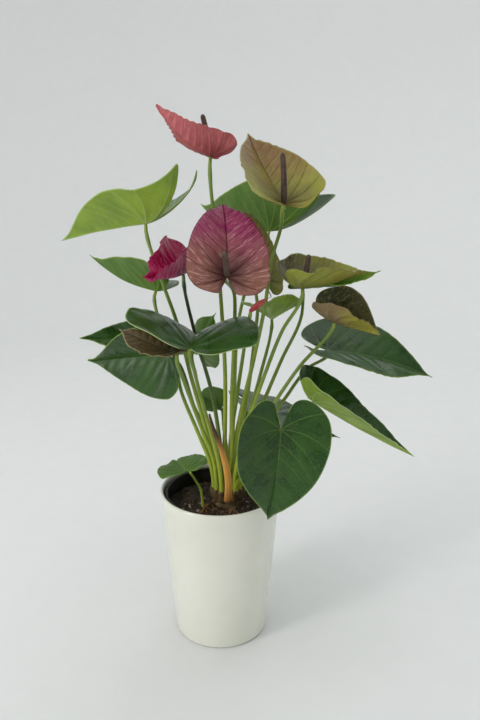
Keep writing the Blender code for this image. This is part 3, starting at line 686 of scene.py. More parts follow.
def spathe_material(name, base, tip, painted_glint, dark, painted_glint_strength, roughness, rim=None):
    """Spathe skin: colour runs from the stalk to the tip; pale streaks along sunken veins are
    painted glints.
    """
    material, tree, look = new_material(name)
    flat = uv_place(tree, "flat")
    edge = split(tree, uv_place(tree, "edge"))["X"]
    veins = tree.group(vein_group(), {"Place": flat, "Spacing": VEIN_SPACING, "Width": 0.009})
    mottle = mottle_at(tree, object_place(tree), 45.0, 1300.0)
    along = split(tree, flat)["X"]
    drift = tree.math("MULTIPLY_ADD", mottle["Cloud"], 0.25, along)
    body = tree.blend(tree.span(drift, 0.05, 0.85), base, tip)
    # Painted glints: pale streaks along the veins stand in for highlights on the spathe's gloss.
    painted_glint_mask = tree.math("MULTIPLY", tree.span(veins["Streak"], 0.5, 0.68), painted_glint_strength)
    body = tree.blend(painted_glint_mask, body, painted_glint)
    throat = tree.span(tree.math("MULTIPLY_ADD", mottle["Cloud"], -0.08, veins["Reach"]),
                       0.34, 0.0, 0.0, 0.85)
    body = tree.blend(throat, body, dark)
    body = tree.blend(tree.math("MULTIPLY", veins["Vein"], 0.22), body, dark)
    band = tree.span(edge, 0.965, 0.995, 0.0, 0.75 if rim else 0.4)
    tree.feed(look["Base Color"], tree.blend(band, body, rim or dark))
    tree.feed(look["Roughness"], tree.span(veins["Streak"], 0.3, 0.7, roughness,
                                           roughness + 0.16))
    look["Specular IOR Level"].default_value = 0.25
    look["Coat Weight"].default_value = 0.1
    look["Coat Roughness"].default_value = 0.15
    height = tree.math("MULTIPLY_ADD", veins["Vein"], -0.8,
                       tree.math("MULTIPLY_ADD", veins["Streak"], 0.9,
                                 tree.math("MULTIPLY", mottle["Grain"], 0.15)))
    tree.feed(look["Normal"], bump(tree, height, 1.1 * MM, 0.9))
    return material


def spadix_material():
    """Flower spike: tight rows of tiny flowers, dark brown with lighter tips."""
    material, tree, look = new_material("flower_spike")
    place = object_place(tree)
    cells = tree.add("ShaderNodeTexVoronoi", {"Vector": place, "Scale": 1150.0},
                     feature="F1").outputs["Distance"]
    mottle = mottle_at(tree, place, 150.0, 1500.0)
    dots = tree.span(cells, 0.5, 0.15)
    base = tree.blend(mottle["Cloud"], (0.060, 0.030, 0.028), (0.13, 0.085, 0.06))
    tree.feed(look["Base Color"], tree.blend(tree.math("MULTIPLY", dots, 0.5), base,
                                             (0.24, 0.17, 0.13)))
    tree.feed(look["Roughness"], tree.span(cells, 0.0, 0.6, 0.45, 0.75))
    tree.feed(look["Normal"], bump(tree, dots, 0.5 * MM, 0.9))
    return material


def bud_material():
    """Closed bud: red with pale streaks along it, browner at the tip."""
    material, tree, look = new_material("bud_skin")
    uv = uv_place(tree, "along")
    parts = split(tree, uv)
    fibre = tree.noise(stretched(tree, uv, (14.0, 2.0, 1.0)), 1.5, 3.0)
    body = tree.blend(tree.span(parts["Y"], 0.3, 1.0), (0.42, 0.03, 0.04), (0.30, 0.10, 0.03))
    body = tree.blend(tree.span(fibre, 0.5, 0.7, 0.0, 0.5), body, (0.6, 0.2, 0.18))
    tree.feed(look["Base Color"], body)
    tree.feed(look["Roughness"], tree.span(fibre, 0.3, 0.7, 0.3, 0.45))
    tree.feed(look["Normal"], bump(tree, fibre, 0.3 * MM, 0.6))
    return material


def floor_material(stage):
    """Matt floor paint with a faint cloudiness."""
    material, tree, look = new_material("floor_paint")
    grain = tree.noise(object_place(tree), 30.0, 3.0)
    tree.feed(look["Base Color"], tree.blend(grain, stage.floor,
                                             [0.96 * tone for tone in stage.floor]))
    tree.feed(look["Roughness"], tree.span(grain, 0.2, 0.8, 0.55, 0.7))
    return material


# ---- shapes -----------------------------------------------------------------
def smooth_point(points, place):
    """The point at place (0 to 1) of a smooth curve through the given points."""
    last = len(points) - 1
    place = min(max(place, 0.0), 1.0) * last
    index = min(int(place), last - 1)
    f = place - index
    p0 = points[max(index - 1, 0)]
    p1 = points[index]
    p2 = points[index + 1]
    p3 = points[min(index + 2, last)]
    return 0.5 * (2 * p1 + (p2 - p0) * f + (2 * p0 - 5 * p1 + 4 * p2 - p3) * f ** 2
                  + (3 * p1 - p0 - 3 * p2 + p3) * f ** 3)


def route_point(points, place):
    """The point at place (0 to 1, by length) of a smooth route through the points."""
    runs = [b - a for a, b in zip(points, points[1:])]
    left = place * sum(run.length for run in runs)
    index = 0
    while index < len(runs) - 1 and left > runs[index].length:
        left -= runs[index].length
        index += 1
    run = runs[index]
    f = min(left / run.length, 1.0)
    before = runs[max(index - 1, 0)].normalized() + run.normalized()
    after = runs[min(index + 1, len(runs) - 1)].normalized() + run.normalized()
    leave = before * (run.length / 2)
    arrive = after * (run.length / 2)
    return (points[index] + leave * f + (3 * run - 2 * leave - arrive) * f ** 2
            + (leave + arrive - 2 * run) * f ** 3)


def arc(reach, start, bend):
    """End of an arc of the given length whose angle goes from start by bend."""
    if abs(bend) < 1e-5:
        return Vector((reach * math.cos(start), reach * math.sin(start)))
    radius = reach / bend
    return Vector((radius * (math.sin(start + bend) - math.sin(start)),
                   radius * (math.cos(start) - math.cos(start + bend))))


class Blade:
    """The curved middle surface of a leaf or a spathe."""

    def __init__(self, outline, at, bearing, pitch, length, width, roll, arch, fold, lift,
                 cup=0, lobe=0.25, twist=0, spadix=None):
        self.at = Vector(at) * MM
        self.length = length * MM
        self.width = width * MM
        self.lobe = lobe
        self.arch = math.radians(arch)
        self.fold = math.radians(fold)
        self.cup = math.radians(cup)
        self.lift = math.radians(lift)
        self.twist = math.radians(twist)
        self.outline = [Vector(pair) for pair in outline]
        self.spadix = spadix
        flat = Vector((math.cos(math.radians(bearing)), math.sin(math.radians(bearing)), 0))
        rise = math.radians(pitch)
        self.along = flat * math.cos(rise) + Vector((0, 0, math.sin(rise)))
        level = Vector((0, 0, math.cos(rise))) - flat * math.sin(rise)
        self.up = Matrix.Rotation(math.radians(roll), 3, self.along) @ level
        self.left = self.up.cross(self.along)

    def place(self, x, y):
        """The point x along the midrib and y to its left, and the normal there."""
        start = self.arch / 2
        reach = self.length if x >= 0 else self.lobe * self.length
        bend = (-self.arch if x >= 0 else -self.lift) * x / reach
        run = arc(x, start, bend)
        angle = start + bend
        tangent = math.cos(angle) * self.along + math.sin(angle) * self.up
        normal = math.cos(angle) * self.up - math.sin(angle) * self.along
        turn = Matrix.Rotation(self.twist * x / self.length, 3, tangent)
        normal = turn @ normal
        side = turn @ self.left
        curl = 2 * self.cup * abs(y) / self.width
        across = arc(abs(y), self.fold, curl)
        sign = 1 if y >= 0 else -1
        point = (self.at + run.x * self.along + run.y * self.up
                 + sign * across.x * side + across.y * normal)
        lean = self.fold + curl
        facing = math.cos(lean) * normal - sign * math.sin(lean) * side
        return point, facing

    def outline_point(self, t):
        """Outline at t, from -1 (right of the sinus) by 0 (tip) to 1 (left)."""
        pair = smooth_point(self.outline, abs(t))
        x = pair.x * self.length * (1 if pair.x >= 0 else self.lobe)
        return x, pair.y * self.width * (1 if t >= 0 else -1)


def set_out(name, outline, values):
    """The blade of that name, with its own outline if it has one."""
    return Blade(SPECIAL_OUTLINES.get(name, outline), **values)


def vein_phase(x, y):
    """Count of side veins up to (x, y) in blade lengths, as in the heart veins group."""
    across = abs(y)
    bent = x - VEIN_ARCH * across * across
    start = bent - VEIN_SLANT * across
    if start > 0:
        return start / VEIN_SPACING
    return (BASAL_ANGLE - math.atan2(across, bent)) / BASAL_STEP


def unit_grid(across, up):
    """A flat grid from (0, 0) to (1, 1)."""
    bm = bmesh.new()
    bmesh.ops.create_grid(bm, x_segments=across, y_segments=up, size=0.5)
    bmesh.ops.translate(bm, verts=bm.verts, vec=(0.5, 0.5, 0))
    return bm


def seam_turn(u):
    """Angle round a closed grid at u (0 to 1); the seam's two sides get the same angle."""
    return 2 * math.pi * (u if u < 1 - CLOSE else 0.0)


def closed_grid(across, up, shape):
    """A grid moved by shape(u, v), 0 to 1 each way, that closes on itself, facing out.

    UV map "along" keeps (u, v). Rows and columns that meet are joined.
    """
    bm = unit_grid(across, up)
    uv = bm.loops.layers.uv.new("along")
    for face in bm.faces:
        for loop in face.loops:
            loop[uv].uv = loop.vert.co.xy
    for vert in bm.verts:
        vert.co = shape(vert.co.x, vert.co.y)
    bmesh.ops.remove_doubles(bm, verts=bm.verts, dist=CLOSE)
    bmesh.ops.dissolve_degenerate(bm, edges=bm.edges, dist=CLOSE / 10)
    bmesh.ops.recalc_face_normals(bm, faces=bm.faces)
    return bm


def rails(points, steps):
    """Place and two crossing directions at steps along a smooth curve."""
    spots = [route_point(points, step / steps) for step in range(steps + 1)]
    side = (spots[1] - spots[0]).orthogonal().normalized()
    frames = []
    for step, spot in enumerate(spots):
        ahead = (spots[min(step + 1, steps)] - spots[max(step - 1, 0)]).normalized()
        side = (side - ahead * side.dot(ahead)).normalized()
        frames.append((spot, side, ahead.cross(side)))
    return frames


def tube(points, sides, steps, radius_at):
    """A closed rod along a smooth curve; radius_at(turn, place) gives its radius."""
    frames = rails(points, steps)
    rows = steps + 2

    def shape(u, v):
        row = round(v * rows)
        step = min(max(row - 1, 0), steps)
        spot, side, front = frames[step]
        if row in (0, rows):
            return spot
        turn = seam_turn(u)
        radius = radius_at(turn, step / steps)
        return spot + radius * (math.cos(turn) * side + math.sin(turn) * front)

    return closed_grid(sides, rows, shape)


def turned(profile, segments):
    """A bmesh turned about Z from (radius, height) pairs that start and end on Z."""
    bm = bmesh.new()
    corners = [bm.verts.new((radius, 0, height)) for radius, height in profile]
    edges = [bm.edges.new(pair) for pair in zip(corners, corners[1:])]
    bmesh.ops.spin(bm, geom=corners + edges, cent=(0, 0, 0), axis=(0, 0, 1),
                   angle=2 * math.pi, steps=segments, use_merge=True)
    bmesh.ops.remove_doubles(bm, verts=bm.verts, dist=0.00001)
    bmesh.ops.recalc_face_normals(bm, faces=bm.faces)
    return bm


def rounded(centre, radius, start, end, steps):
    """(radius, height) pairs on an arc about centre, angles in degrees."""
    angles = [math.radians(start + (end - start) * step / steps) for step in range(steps + 1)]
    return [(centre[0] + radius * math.cos(a), centre[1] + radius * math.sin(a))
            for a in angles]


def merge(bm, other):
    """Adds another bmesh's faces to bm, with their UV maps."""
    mesh = bpy.data.meshes.new("merged part")
    other.to_mesh(mesh)
    other.free()
    bm.from_mesh(mesh)
    bpy.data.meshes.remove(mesh)


def finish_piece(name, bm, materials, slot, *nodes, sharp=None):
    """Turns a bmesh into a finished piece that rides on the root body."""
    mesh = bpy.data.meshes.new(name)
    bm.to_mesh(mesh)
    bm.free()
    for material in materials:
        mesh.materials.append(material)
    mesh.shade_smooth()
    if sharp:
        mesh.set_sharp_from_angle(angle=math.radians(sharp))
    piece = bpy.data.objects.new(name, mesh)
    bpy.context.scene.collection.objects.link(piece)
    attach(piece, "root")
    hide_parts(*nodes)
    return piece


# ---- pieces -----------------------------------------------------------------
def pot_radius(height):
    """Outer radius of the pot's tapered wall at a height."""
    base = bpy.context.scene.anthurium_pot.base_radius
    return base + (POT_RIM_RADIUS - base) * height / POT_HEIGHT


class ANTHURIUM_OT_pot(bpy.types.Operator):
    """Turn the tapered glazed pot with its rounded lip and foot"""

    bl_idname = "anthurium.pot"
    bl_label = "Glazed pot"

    def execute(self, context):
        pot = context.scene.anthurium_pot
        lip = pot.wall / 2
        brim = POT_HEIGHT - lip
        inside = pot_radius(pot.floor) - pot.wall - pot.foot
        profile = [(0, FOOT_HOLLOW), (0.72 * pot.base_radius, FOOT_HOLLOW),
                   (0.76 * pot.base_radius, 0.0)]
        profile += rounded((pot_radius(pot.foot) - pot.foot, pot.foot), pot.foot, -90, 0, 6)
        steps = 16
        profile += [(pot_radius(height), height) for height in
                    (pot.foot + (brim - pot.foot) * step / steps for step in range(1, steps))]
        profile += rounded((POT_RIM_RADIUS - lip, brim), lip, 0, 180, 10)
        profile += [(pot_radius(height) - pot.wall, height) for height in
                    (brim + (pot.floor + pot.foot - brim) * step / steps
                     for step in range(1, steps))]
        profile += rounded((inside, pot.floor + pot.foot), pot.foot, 0, -90, 5)
        profile.append((0, pot.floor))
        finish_piece("glazed_pot", turned(profile, pot.segments), [glaze_material(pot)],
                     "glazed_pot", "pot", sharp=60)
        return {"FINISHED"}


class ANTHURIUM_OT_nursery_pot(bpy.types.Operator):
    """Turn the thin black nursery pot with its rolled rim"""

    bl_idname = "anthurium.nursery_pot"
    bl_label = "Nursery pot"

    def execute(self, context):
        pot = context.scene.anthurium_pot
        wall = pot.grow_wall
        taper = (POT_RIM_RADIUS - pot.base_radius) / POT_HEIGHT
        bottom = GROW_BOTTOM
        bead = 1.3 * wall

        def outer(height):
            return GROW_RADIUS - taper * (GROW_TOP - height)

        profile = [(0, bottom), (outer(bottom) - 2 * wall, bottom)]
        profile += rounded((outer(bottom) - 2 * wall, bottom + 2 * wall), 2 * wall, -90, 0, 4)
        profile += [(outer(GROW_TOP - 3 * bead), GROW_TOP - 3 * bead)]
        profile += rounded((outer(GROW_TOP) - 0.6 * bead, GROW_TOP - bead), bead, -50, 200, 9)
        profile += [(outer(GROW_TOP - 3 * bead) - wall, GROW_TOP - 3 * bead),
                    (outer(bottom + wall) - 2.4 * wall, bottom + wall), (0, bottom + wall)]
        finish_piece("nursery_pot", turned(profile, pot.segments), [plastic_material(pot)],
                     "grow_pot_plastic", "grow_pot", sharp=50)
        return {"FINISHED"}


def ground_height(x, y):
    """Height of the soil's uneven surface at (x, y)."""
    reach = math.hypot(x, y) / SOIL_RADIUS
    mound = 1.0 * MM - 3.5 * MM * reach ** 4
    rough = noise.noise(Vector((x, y, 0)) * 90) * 2.2 + noise.noise(Vector((x, y, 1)) * 340) * 1.2
    return SOIL_TOP + mound + rough * MM


def crumb(bm, rng, tone_layer, spot, size, tone):
    """One rough lump of bark or peat."""
    turn = Matrix.Rotation(rng.uniform(0, 6.28), 4, Vector((rng.random(), rng.random(), 0.3)))
    stretch = Matrix.Diagonal((size * rng.uniform(0.8, 1.9), size * rng.uniform(0.6, 1.1),
                               size * rng.uniform(0.35, 0.8), 1.0))
    made = bmesh.ops.create_icosphere(bm, subdivisions=1, radius=1.0,
                                      matrix=Matrix.Translation(spot) @ turn @ stretch)
    for vert in made["verts"]:
        vert.co += (vert.co - spot) * rng.uniform(-0.25, 0.25)
        vert[tone_layer] = tone


class ANTHURIUM_OT_soil(bpy.types.Operator):
    """Lay the potting mix: an uneven surface with loose crumbs of bark and peat"""

    bl_idname = "anthurium.soil"
    bl_label = "Soil"

    def execute(self, context):
        soil = context.scene.anthurium_soil
        rng = random.Random(11)
        taper = (POT_RIM_RADIUS - context.scene.anthurium_pot.base_radius) / POT_HEIGHT
        depth = SOIL_TOP - node_bottom("soil")
        rings = 60

        def shape(u, v):
            turn = seam_turn(u)
            row = round(v * (rings + 4))
            if row <= rings:
                reach = SOIL_RADIUS * row / rings
                x, y = reach * math.cos(turn), reach * math.sin(turn)
                return Vector((x, y, ground_height(x, y)))
            down = (row - rings) / 3
            if row == rings + 4:
                return Vector((0, 0, SOIL_TOP - depth))
            reach = SOIL_RADIUS - taper * depth * down
            return Vector((reach * math.cos(turn), reach * math.sin(turn),
                           SOIL_TOP - SOIL_LIP - (depth - SOIL_LIP) * down))

        bm = closed_grid(150, rings + 4, shape)
        tone = bm.verts.layers.float.new("tone")
        for _ in range(soil.crumbs):
            turn = rng.uniform(0, 2 * math.pi)
            reach = SOIL_RADIUS * 0.95 * math.sqrt(rng.random())
            x, y = reach * math.cos(turn), reach * math.sin(turn)
            size = soil.crumb_size * rng.uniform(0.35, 1.15)
            crumb(bm, rng, tone, Vector((x, y, ground_height(x, y) + 0.2 * size)), size,
                  rng.random())
        finish_piece("potting_mix", bm, [soil_material(soil)], "soil_mix", "soil")
        return {"FINISHED"}


def stalk_root(name):
    """Where a stalk leaves the crown."""
    ring, bearing, _ = STALKS[name]
    angle = math.radians(bearing)
    return Vector((CROWN_X + RING_RADII[ring] * math.cos(angle),
                   RING_RADII[ring] * math.sin(angle), CROWN_TOP + STALK_CLEAR))


class ANTHURIUM_OT_crown(bpy.types.Operator):
    """Model the knobbly crown with a swollen collar round each stalk's foot"""

    bl_idname = "anthurium.crown"
    bl_label = "Crown"

    def execute(self, context):
        soil = context.scene.anthurium_soil
        rng = random.Random(5)
        base = SOIL_TOP - 1.5 * MM
        height = CROWN_TOP - base
        rows = 20

        def shape(u, v):
            turn = seam_turn(u)
            row = round(v * rows)
            rise = (row - 1) / (rows - 1)
            reach = 0.0 if row in (0, rows) else math.cos(max(rise, 0) * math.pi / 2) ** 0.42
            spot = Vector((reach * math.cos(turn), reach * math.sin(turn), 0))
            lump = noise.noise(spot * 4 + Vector((0, 0, rise * 3)))
            radius = (CROWN_RADIUS - 1.2 * MM) * (1 + 0.08 * lump)
            return Vector((CROWN_X + radius * spot.x, radius * spot.y,
                           base + height * max(rise, 0) * (1 + 0.05 * lump)))

        bm = closed_grid(48, rows, shape)
        for name in STALKS:
            root = stalk_root(name)
            lean = Vector((root.x - CROWN_X, root.y, 0)) * 0.12
            radius = rng.uniform(3.6, 4.4) * MM
            foot = root - Vector((0, 0, 8 * MM)) - lean
            knob = tube([foot, root - Vector((0, 0, 2 * MM)), root + lean + Vector((0, 0, 5 * MM))],
                        16, 12, lambda turn, place, radius=radius: radius
                        * (1 - 0.34 * place ** 2 + 0.08 * math.sin(3 * turn + 9 * place)))
            merge(bm, knob)
        finish_piece("crown", bm, [bark_material("crown_skin", soil.crown, (0.07, 0.045, 0.015),
                                                 260.0)], "crown_skin", "crown")
        return {"FINISHED"}


class ANTHURIUM_OT_roots(bpy.types.Operator):
    """Lay the two thick surface roots with thin ones round each"""

    bl_idname = "anthurium.roots"
    bl_label = "Surface roots"

    def execute(self, context):
        soil = context.scene.anthurium_soil
        rng = random.Random(3)
        skin = bark_material("root_skin", soil.root, (0.10, 0.05, 0.02), 420.0)
        for index, way in enumerate(ROOTS, start=1):
            points = [Vector(spot) * MM for spot in way]
            bm = tube(points, 14, 40, lambda turn, place: ROOT_RADIUS
                      * (1 - 0.3 * place + 0.12 * math.sin(34 * place + turn)))
            for _ in range(13):
                start = smooth_point(points, rng.uniform(0.0, 0.6))
                angle = rng.uniform(-2.6, -0.5)
                way_point = start
                thin = [start]
                for _ in range(4):
                    angle += rng.uniform(-0.5, 0.5)
                    way_point = way_point + Vector((math.cos(angle), math.sin(angle), 0)) * 6 * MM
                    way_point.z = ground_height(way_point.x, way_point.y) + 0.6 * MM
                    thin.append(way_point)
                size = rng.uniform(0.4, 0.9) * MM
                merge(bm, tube(thin, 8, 20, lambda turn, place, size=size: size
                               * (1 - 0.6 * place)))
            finish_piece("surface_root_" + str(index), bm, [skin], "root_skin",
                         "root_" + str(index))
        return {"FINISHED"}


class ANTHURIUM_OT_sheath(bpy.types.Operator):
    """Model the dried sheath: a fluted papery sleeve that tapers to a torn tip"""

    bl_idname = "anthurium.sheath"
    bl_label = "Dried sheath"

    def execute(self, context):
        def radius_at(turn, place):
            body = SHEATH_RADIUS * (1.0 - 0.75 * place ** 1.6)
            flutes = 0.10 * math.cos(9 * turn + 2 * place) + 0.05 * math.cos(17 * turn)
            flat = 0.22 * math.cos(2 * turn)
            foot = 0.25 * math.exp(-(place / 0.08) ** 2)
            return body * (1 + flutes + flat + foot)

        points = [Vector(spot) * MM for spot in SHEATH]
        points[0] = points[0] - Vector((0, 0, 8 * MM))
        bm = tube(points, 40, 70, radius_at)
        finish_piece("dried_sheath", bm, [sheath_material(context.scene.anthurium_soil)],
                     "dried_sheath", "sheath")
        return {"FINISHED"}


def stalk_points(name, blade_end):
    """Root in the crown, the points on the way and the end under the blade."""
    root = stalk_root(name)
    rise = root + Vector((0, 0, STALK_RISE))
    way = [Vector(spot) * MM for spot in STALKS[name][2]]
    return [root - Vector((0, 0, STALK_SINK)), rise] + way + blade_end


def under_blade(blade, thickness):
    """The last two points of a stalk, square to the blade's underside."""
    normal = math.cos(blade.arch / 2) * blade.up - math.sin(blade.arch / 2) * blade.along
    return [blade.at - STALK_LEAD * normal, blade.at - 0.4 * thickness * normal]


def add_stalk(name, points, settings, material, share=1.0):
    """A living stalk: swollen at its foot and at the knee under its blade."""
    def radius_at(turn, place):
        body = settings.base_radius + (settings.top_radius - settings.base_radius) * place
        foot = 0.22 * math.exp(-(place / 0.045) ** 2)
        knee = 0.30 * math.exp(-((place - 0.955) / 0.022) ** 2)
        return share * body * (1 + foot + knee + 0.04 * math.cos(3 * turn + 5 * place))

    bm = tube(points, settings.sides, settings.steps, radius_at)
    finish_piece(name, bm, [material], "stalk_skin", name)


class ANTHURIUM_OT_stalks(bpy.types.Operator):
    """Raise every stalk from the crown to its blade"""

    bl_idname = "anthurium.stalks"
    bl_label = "Stalks"

    def execute(self, context):
        settings = context.scene.anthurium_stalks
        thickness = context.scene.anthurium_leaves.thickness
        green = stalk_material("green_stalk", settings.green, settings.young)
        ripe = stalk_material("flower_stalk", settings.dark, settings.green)
        for group, outline in ((LEAVES, LEAF_OUTLINE), (SPATHES, SPATHE_OUTLINE)):
            for name, values in group.items():
                if name in STALKS:
                    end = under_blade(set_out(name, outline, values), thickness)
                    add_stalk("stalk_" + name, stalk_points(name, end), settings,
                              ripe if name == "spathe_fuchsia" else green)
        bud_end = [Vector(BUD_BASE) * MM + Vector((1, 0, 1)) * MM]
        add_stalk("stalk_spathe_bud", stalk_points("spathe_bud", bud_end), settings, green)
        add_stalk("stalk_leaf_rim_left", [Vector(spot) * MM for spot in RIM_STALK], settings,
                  green, RIM_STALK_SHARE)
        return {"FINISHED"}


def blade_bmesh(blade, leaves, pucker, wave, swell, seed):
    """A polar sheet from the stalk's end out to the outline, quilted and waved.

    UV map "flat" is the place in blade lengths and "edge" holds how far out it lies.
    """
    def shape(u, v):
        x, y = blade.outline_point(2 * u - 1)
        x, y = x * v, y * v
        point, facing = blade.place(x, y)
        phase = vein_phase(x / blade.length, y / blade.length)
        away = abs(phase - round(phase))
        quilt = math.sin(math.pi * away) * min(abs(y) / (0.08 * blade.length), 1.0)
        cloud = noise.noise(point * 28 + Vector((seed, 0, 0)))
        ruffle = (math.sin(11 * math.pi * u + seed) * 0.6
                  + math.sin(23 * math.pi * u + 2 * seed) * 0.4)
        height = (pucker * quilt * min(v * 3, 1.0) + swell * cloud * v
                  + wave * ruffle * v ** 3)
        return point + facing * height

    bm = unit_grid(leaves.rays, leaves.rings)
    flat = bm.loops.layers.uv.new("flat")
    edge = bm.loops.layers.uv.new("edge")
    for face in bm.faces:
        for loop in face.loops:
            u, v = loop.vert.co.xy
            x, y = blade.outline_point(2 * u - 1)
            loop[flat].uv = (x * v / blade.length, y * v / blade.length)
            loop[edge].uv = (v, u)
    for vert in bm.verts:
        vert.co = shape(vert.co.x, vert.co.y)
    bmesh.ops.remove_doubles(bm, verts=bm.verts, dist=CLOSE)
    bm.normal_update()
    spot, facing = blade.place(0.4 * blade.length, 0)
    middle = min(bm.faces, key=lambda face: (face.calc_center_median() - spot).length)
    if middle.normal.dot(facing) < 0:
        bmesh.ops.reverse_faces(bm, faces=bm.faces)
    return bm


def add_blade(name, blade, leaves, upper, under, slot, pucker, wave, swell, seed):
    """One leaf or spathe: its sheet given a thickness, upper and under skins."""
    bm = blade_bmesh(blade, leaves, pucker, wave, swell, seed)
    piece = finish_piece(name, bm, [upper, under], slot, name)
    shell = piece.modifiers.new("thickness", "SOLIDIFY")
    shell.thickness = leaves.thickness
    shell.offset = 0.0
    shell.material_offset = 1
    shell.material_offset_rim = 1
    return piece


class ANTHURIUM_OT_leaves(bpy.types.Operator):
    """Shape the heart-shaped leaves with quilted upper sides and paler undersides"""

    bl_idname = "anthurium.leaves"
    bl_label = "Leaves"

    def execute(self, context):
        leaves = context.scene.anthurium_leaves
        finishes = {
            "deep": leaf_material("deep_leaf", leaves.deep, leaves.mid, leaves.vein, 0.22,
                                  leaves.gloss, True),
            "veined": leaf_material("veined_leaf", leaves.deep, leaves.mid, leaves.vein, 0.32,
                                    leaves.gloss, True),
            "fresh": leaf_material("fresh_leaf", leaves.mid, leaves.lime, leaves.vein, 0.35,
                                   leaves.gloss, True),
            "grey": leaf_material("grey_leaf", leaves.grey, leaves.mid, leaves.vein, 0.3,
                                  leaves.gloss + 0.15, True),
            # Undersides: the usual one is painted shade, the lime one painted light shining through
            # from behind.
            "under": leaf_material("shaded_leaf_underside", leaves.under, leaves.mid, leaves.lime,
                                   0.5, 0.42, False),
            "lime": leaf_material("backlit_lime_underside", leaves.lime, leaves.under, leaves.pale,
                                  0.45, 0.42, False),
        }
        for seed, (name, values) in enumerate(LEAVES.items()):
            upper, under = LEAF_FINISHES.get(name, ("deep", "under"))
            add_blade(name, set_out(name, LEAF_OUTLINE, values), leaves, finishes[upper],
                      finishes[under], "leaf_skin", 0.9 * MM, 1.4 * MM, 1.6 * MM, seed)
        return {"FINISHED"}


class ANTHURIUM_OT_spathes(bpy.types.Operator):
    """Shape the open spathes, each with its own colours"""

    bl_idname = "anthurium.spathes"
    bl_label = "Spathes"

    def execute(self, context):
        leaves = context.scene.anthurium_leaves
        for seed, (name, values) in enumerate(SPATHES.items(), start=20):
            look = SPATHE_LOOKS[name]
            upper = spathe_material(name + "_face", **look["face"])
            under = spathe_material(name + "_back", **look.get("back", look["face"]))
            add_blade(name, set_out(name, SPATHE_OUTLINE, values), leaves, upper, under,
                      name + "_skin", 1.8 * MM, WAVES.get(name, 1.4 * MM), 2.4 * MM, seed)
        return {"FINISHED"}


class ANTHURIUM_OT_spadices(bpy.types.Operator):
    """Stand a spike of tiny flowers on each spathe that carries one"""

    bl_idname = "anthurium.spadices"
    bl_label = "Spadices"

    def execute(self, context):
        skin = spadix_material()
        for name, values in SPATHES.items():
            blade = set_out(name, SPATHE_OUTLINE, values)
            if not blade.spadix:
                continue
            foot = blade.at + 0.2 * MM * blade.up
            tip = Vector(blade.spadix) * MM
            middle = foot.lerp(tip, 0.55) + (tip - foot).orthogonal().normalized() * 0.8 * MM

            def radius_at(turn, place):
                taper = min(1.0, 0.62 + 3.2 * place) * (1 - 0.22 * place)
                cap = math.sqrt(max(0.0, 1 - max(0.0, (place - 0.9) / 0.1) ** 2))
                rows = math.sin(8 * turn + 60 * place) * math.sin(8 * turn - 60 * place)
                return SPADIX_RADIUS * taper * (0.12 + 0.88 * cap) * (1 + 0.05 * rows)

            bm = tube([foot, middle, tip], 64, 110, radius_at)
            node = name.replace("spathe", "spadix")
            finish_piece(node, bm, [skin], "spadix_skin", node)
        return {"FINISHED"}


class ANTHURIUM_OT_bud(bpy.types.Operator):
    """Model the closed bud, rolled like a quill"""

    bl_idname = "anthurium.bud"
    bl_label = "Bud"

    def execute(self, context):
        base, tip = (Vector(spot) * MM for spot in (BUD_BASE, BUD_TIP))

        def radius_at(turn, place):
            body = math.sin(math.pi * min(place * 1.05 + 0.12, 1.0)) ** 0.8
            roll = 0.14 * ((turn / (2 * math.pi) + 0.6 * place) % 1.0)
            return BUD_RADIUS * (0.1 + 0.9 * body) * (0.9 + roll)

        bm = tube([base, base.lerp(tip, 0.5) + Vector((0, 0, 1)) * MM, tip], 40, 40, radius_at)
        finish_piece("spathe_bud", bm, [bud_material()], "bud_skin", "spathe_bud")
        return {"FINISHED"}


# ---- stage ------------------------------------------------------------------
def area_light(name, place, size, watts, tint):
    """A soft lamp that lights the plant and isn't seen itself."""
    data = bpy.data.lights.new(name, "AREA")
    data.shape = "RECTANGLE"
    data.size, data.size_y = size
    data.energy = watts
    data.color = tint
    lamp = bpy.data.objects.new(name, data)
    lamp.visible_camera = False
    lamp.location = place
    aim = Vector(LIGHT_TARGET) - Vector(place)
    lamp.rotation_euler = aim.to_track_quat("-Z", "Y").to_euler()
    bpy.context.scene.collection.objects.link(lamp)


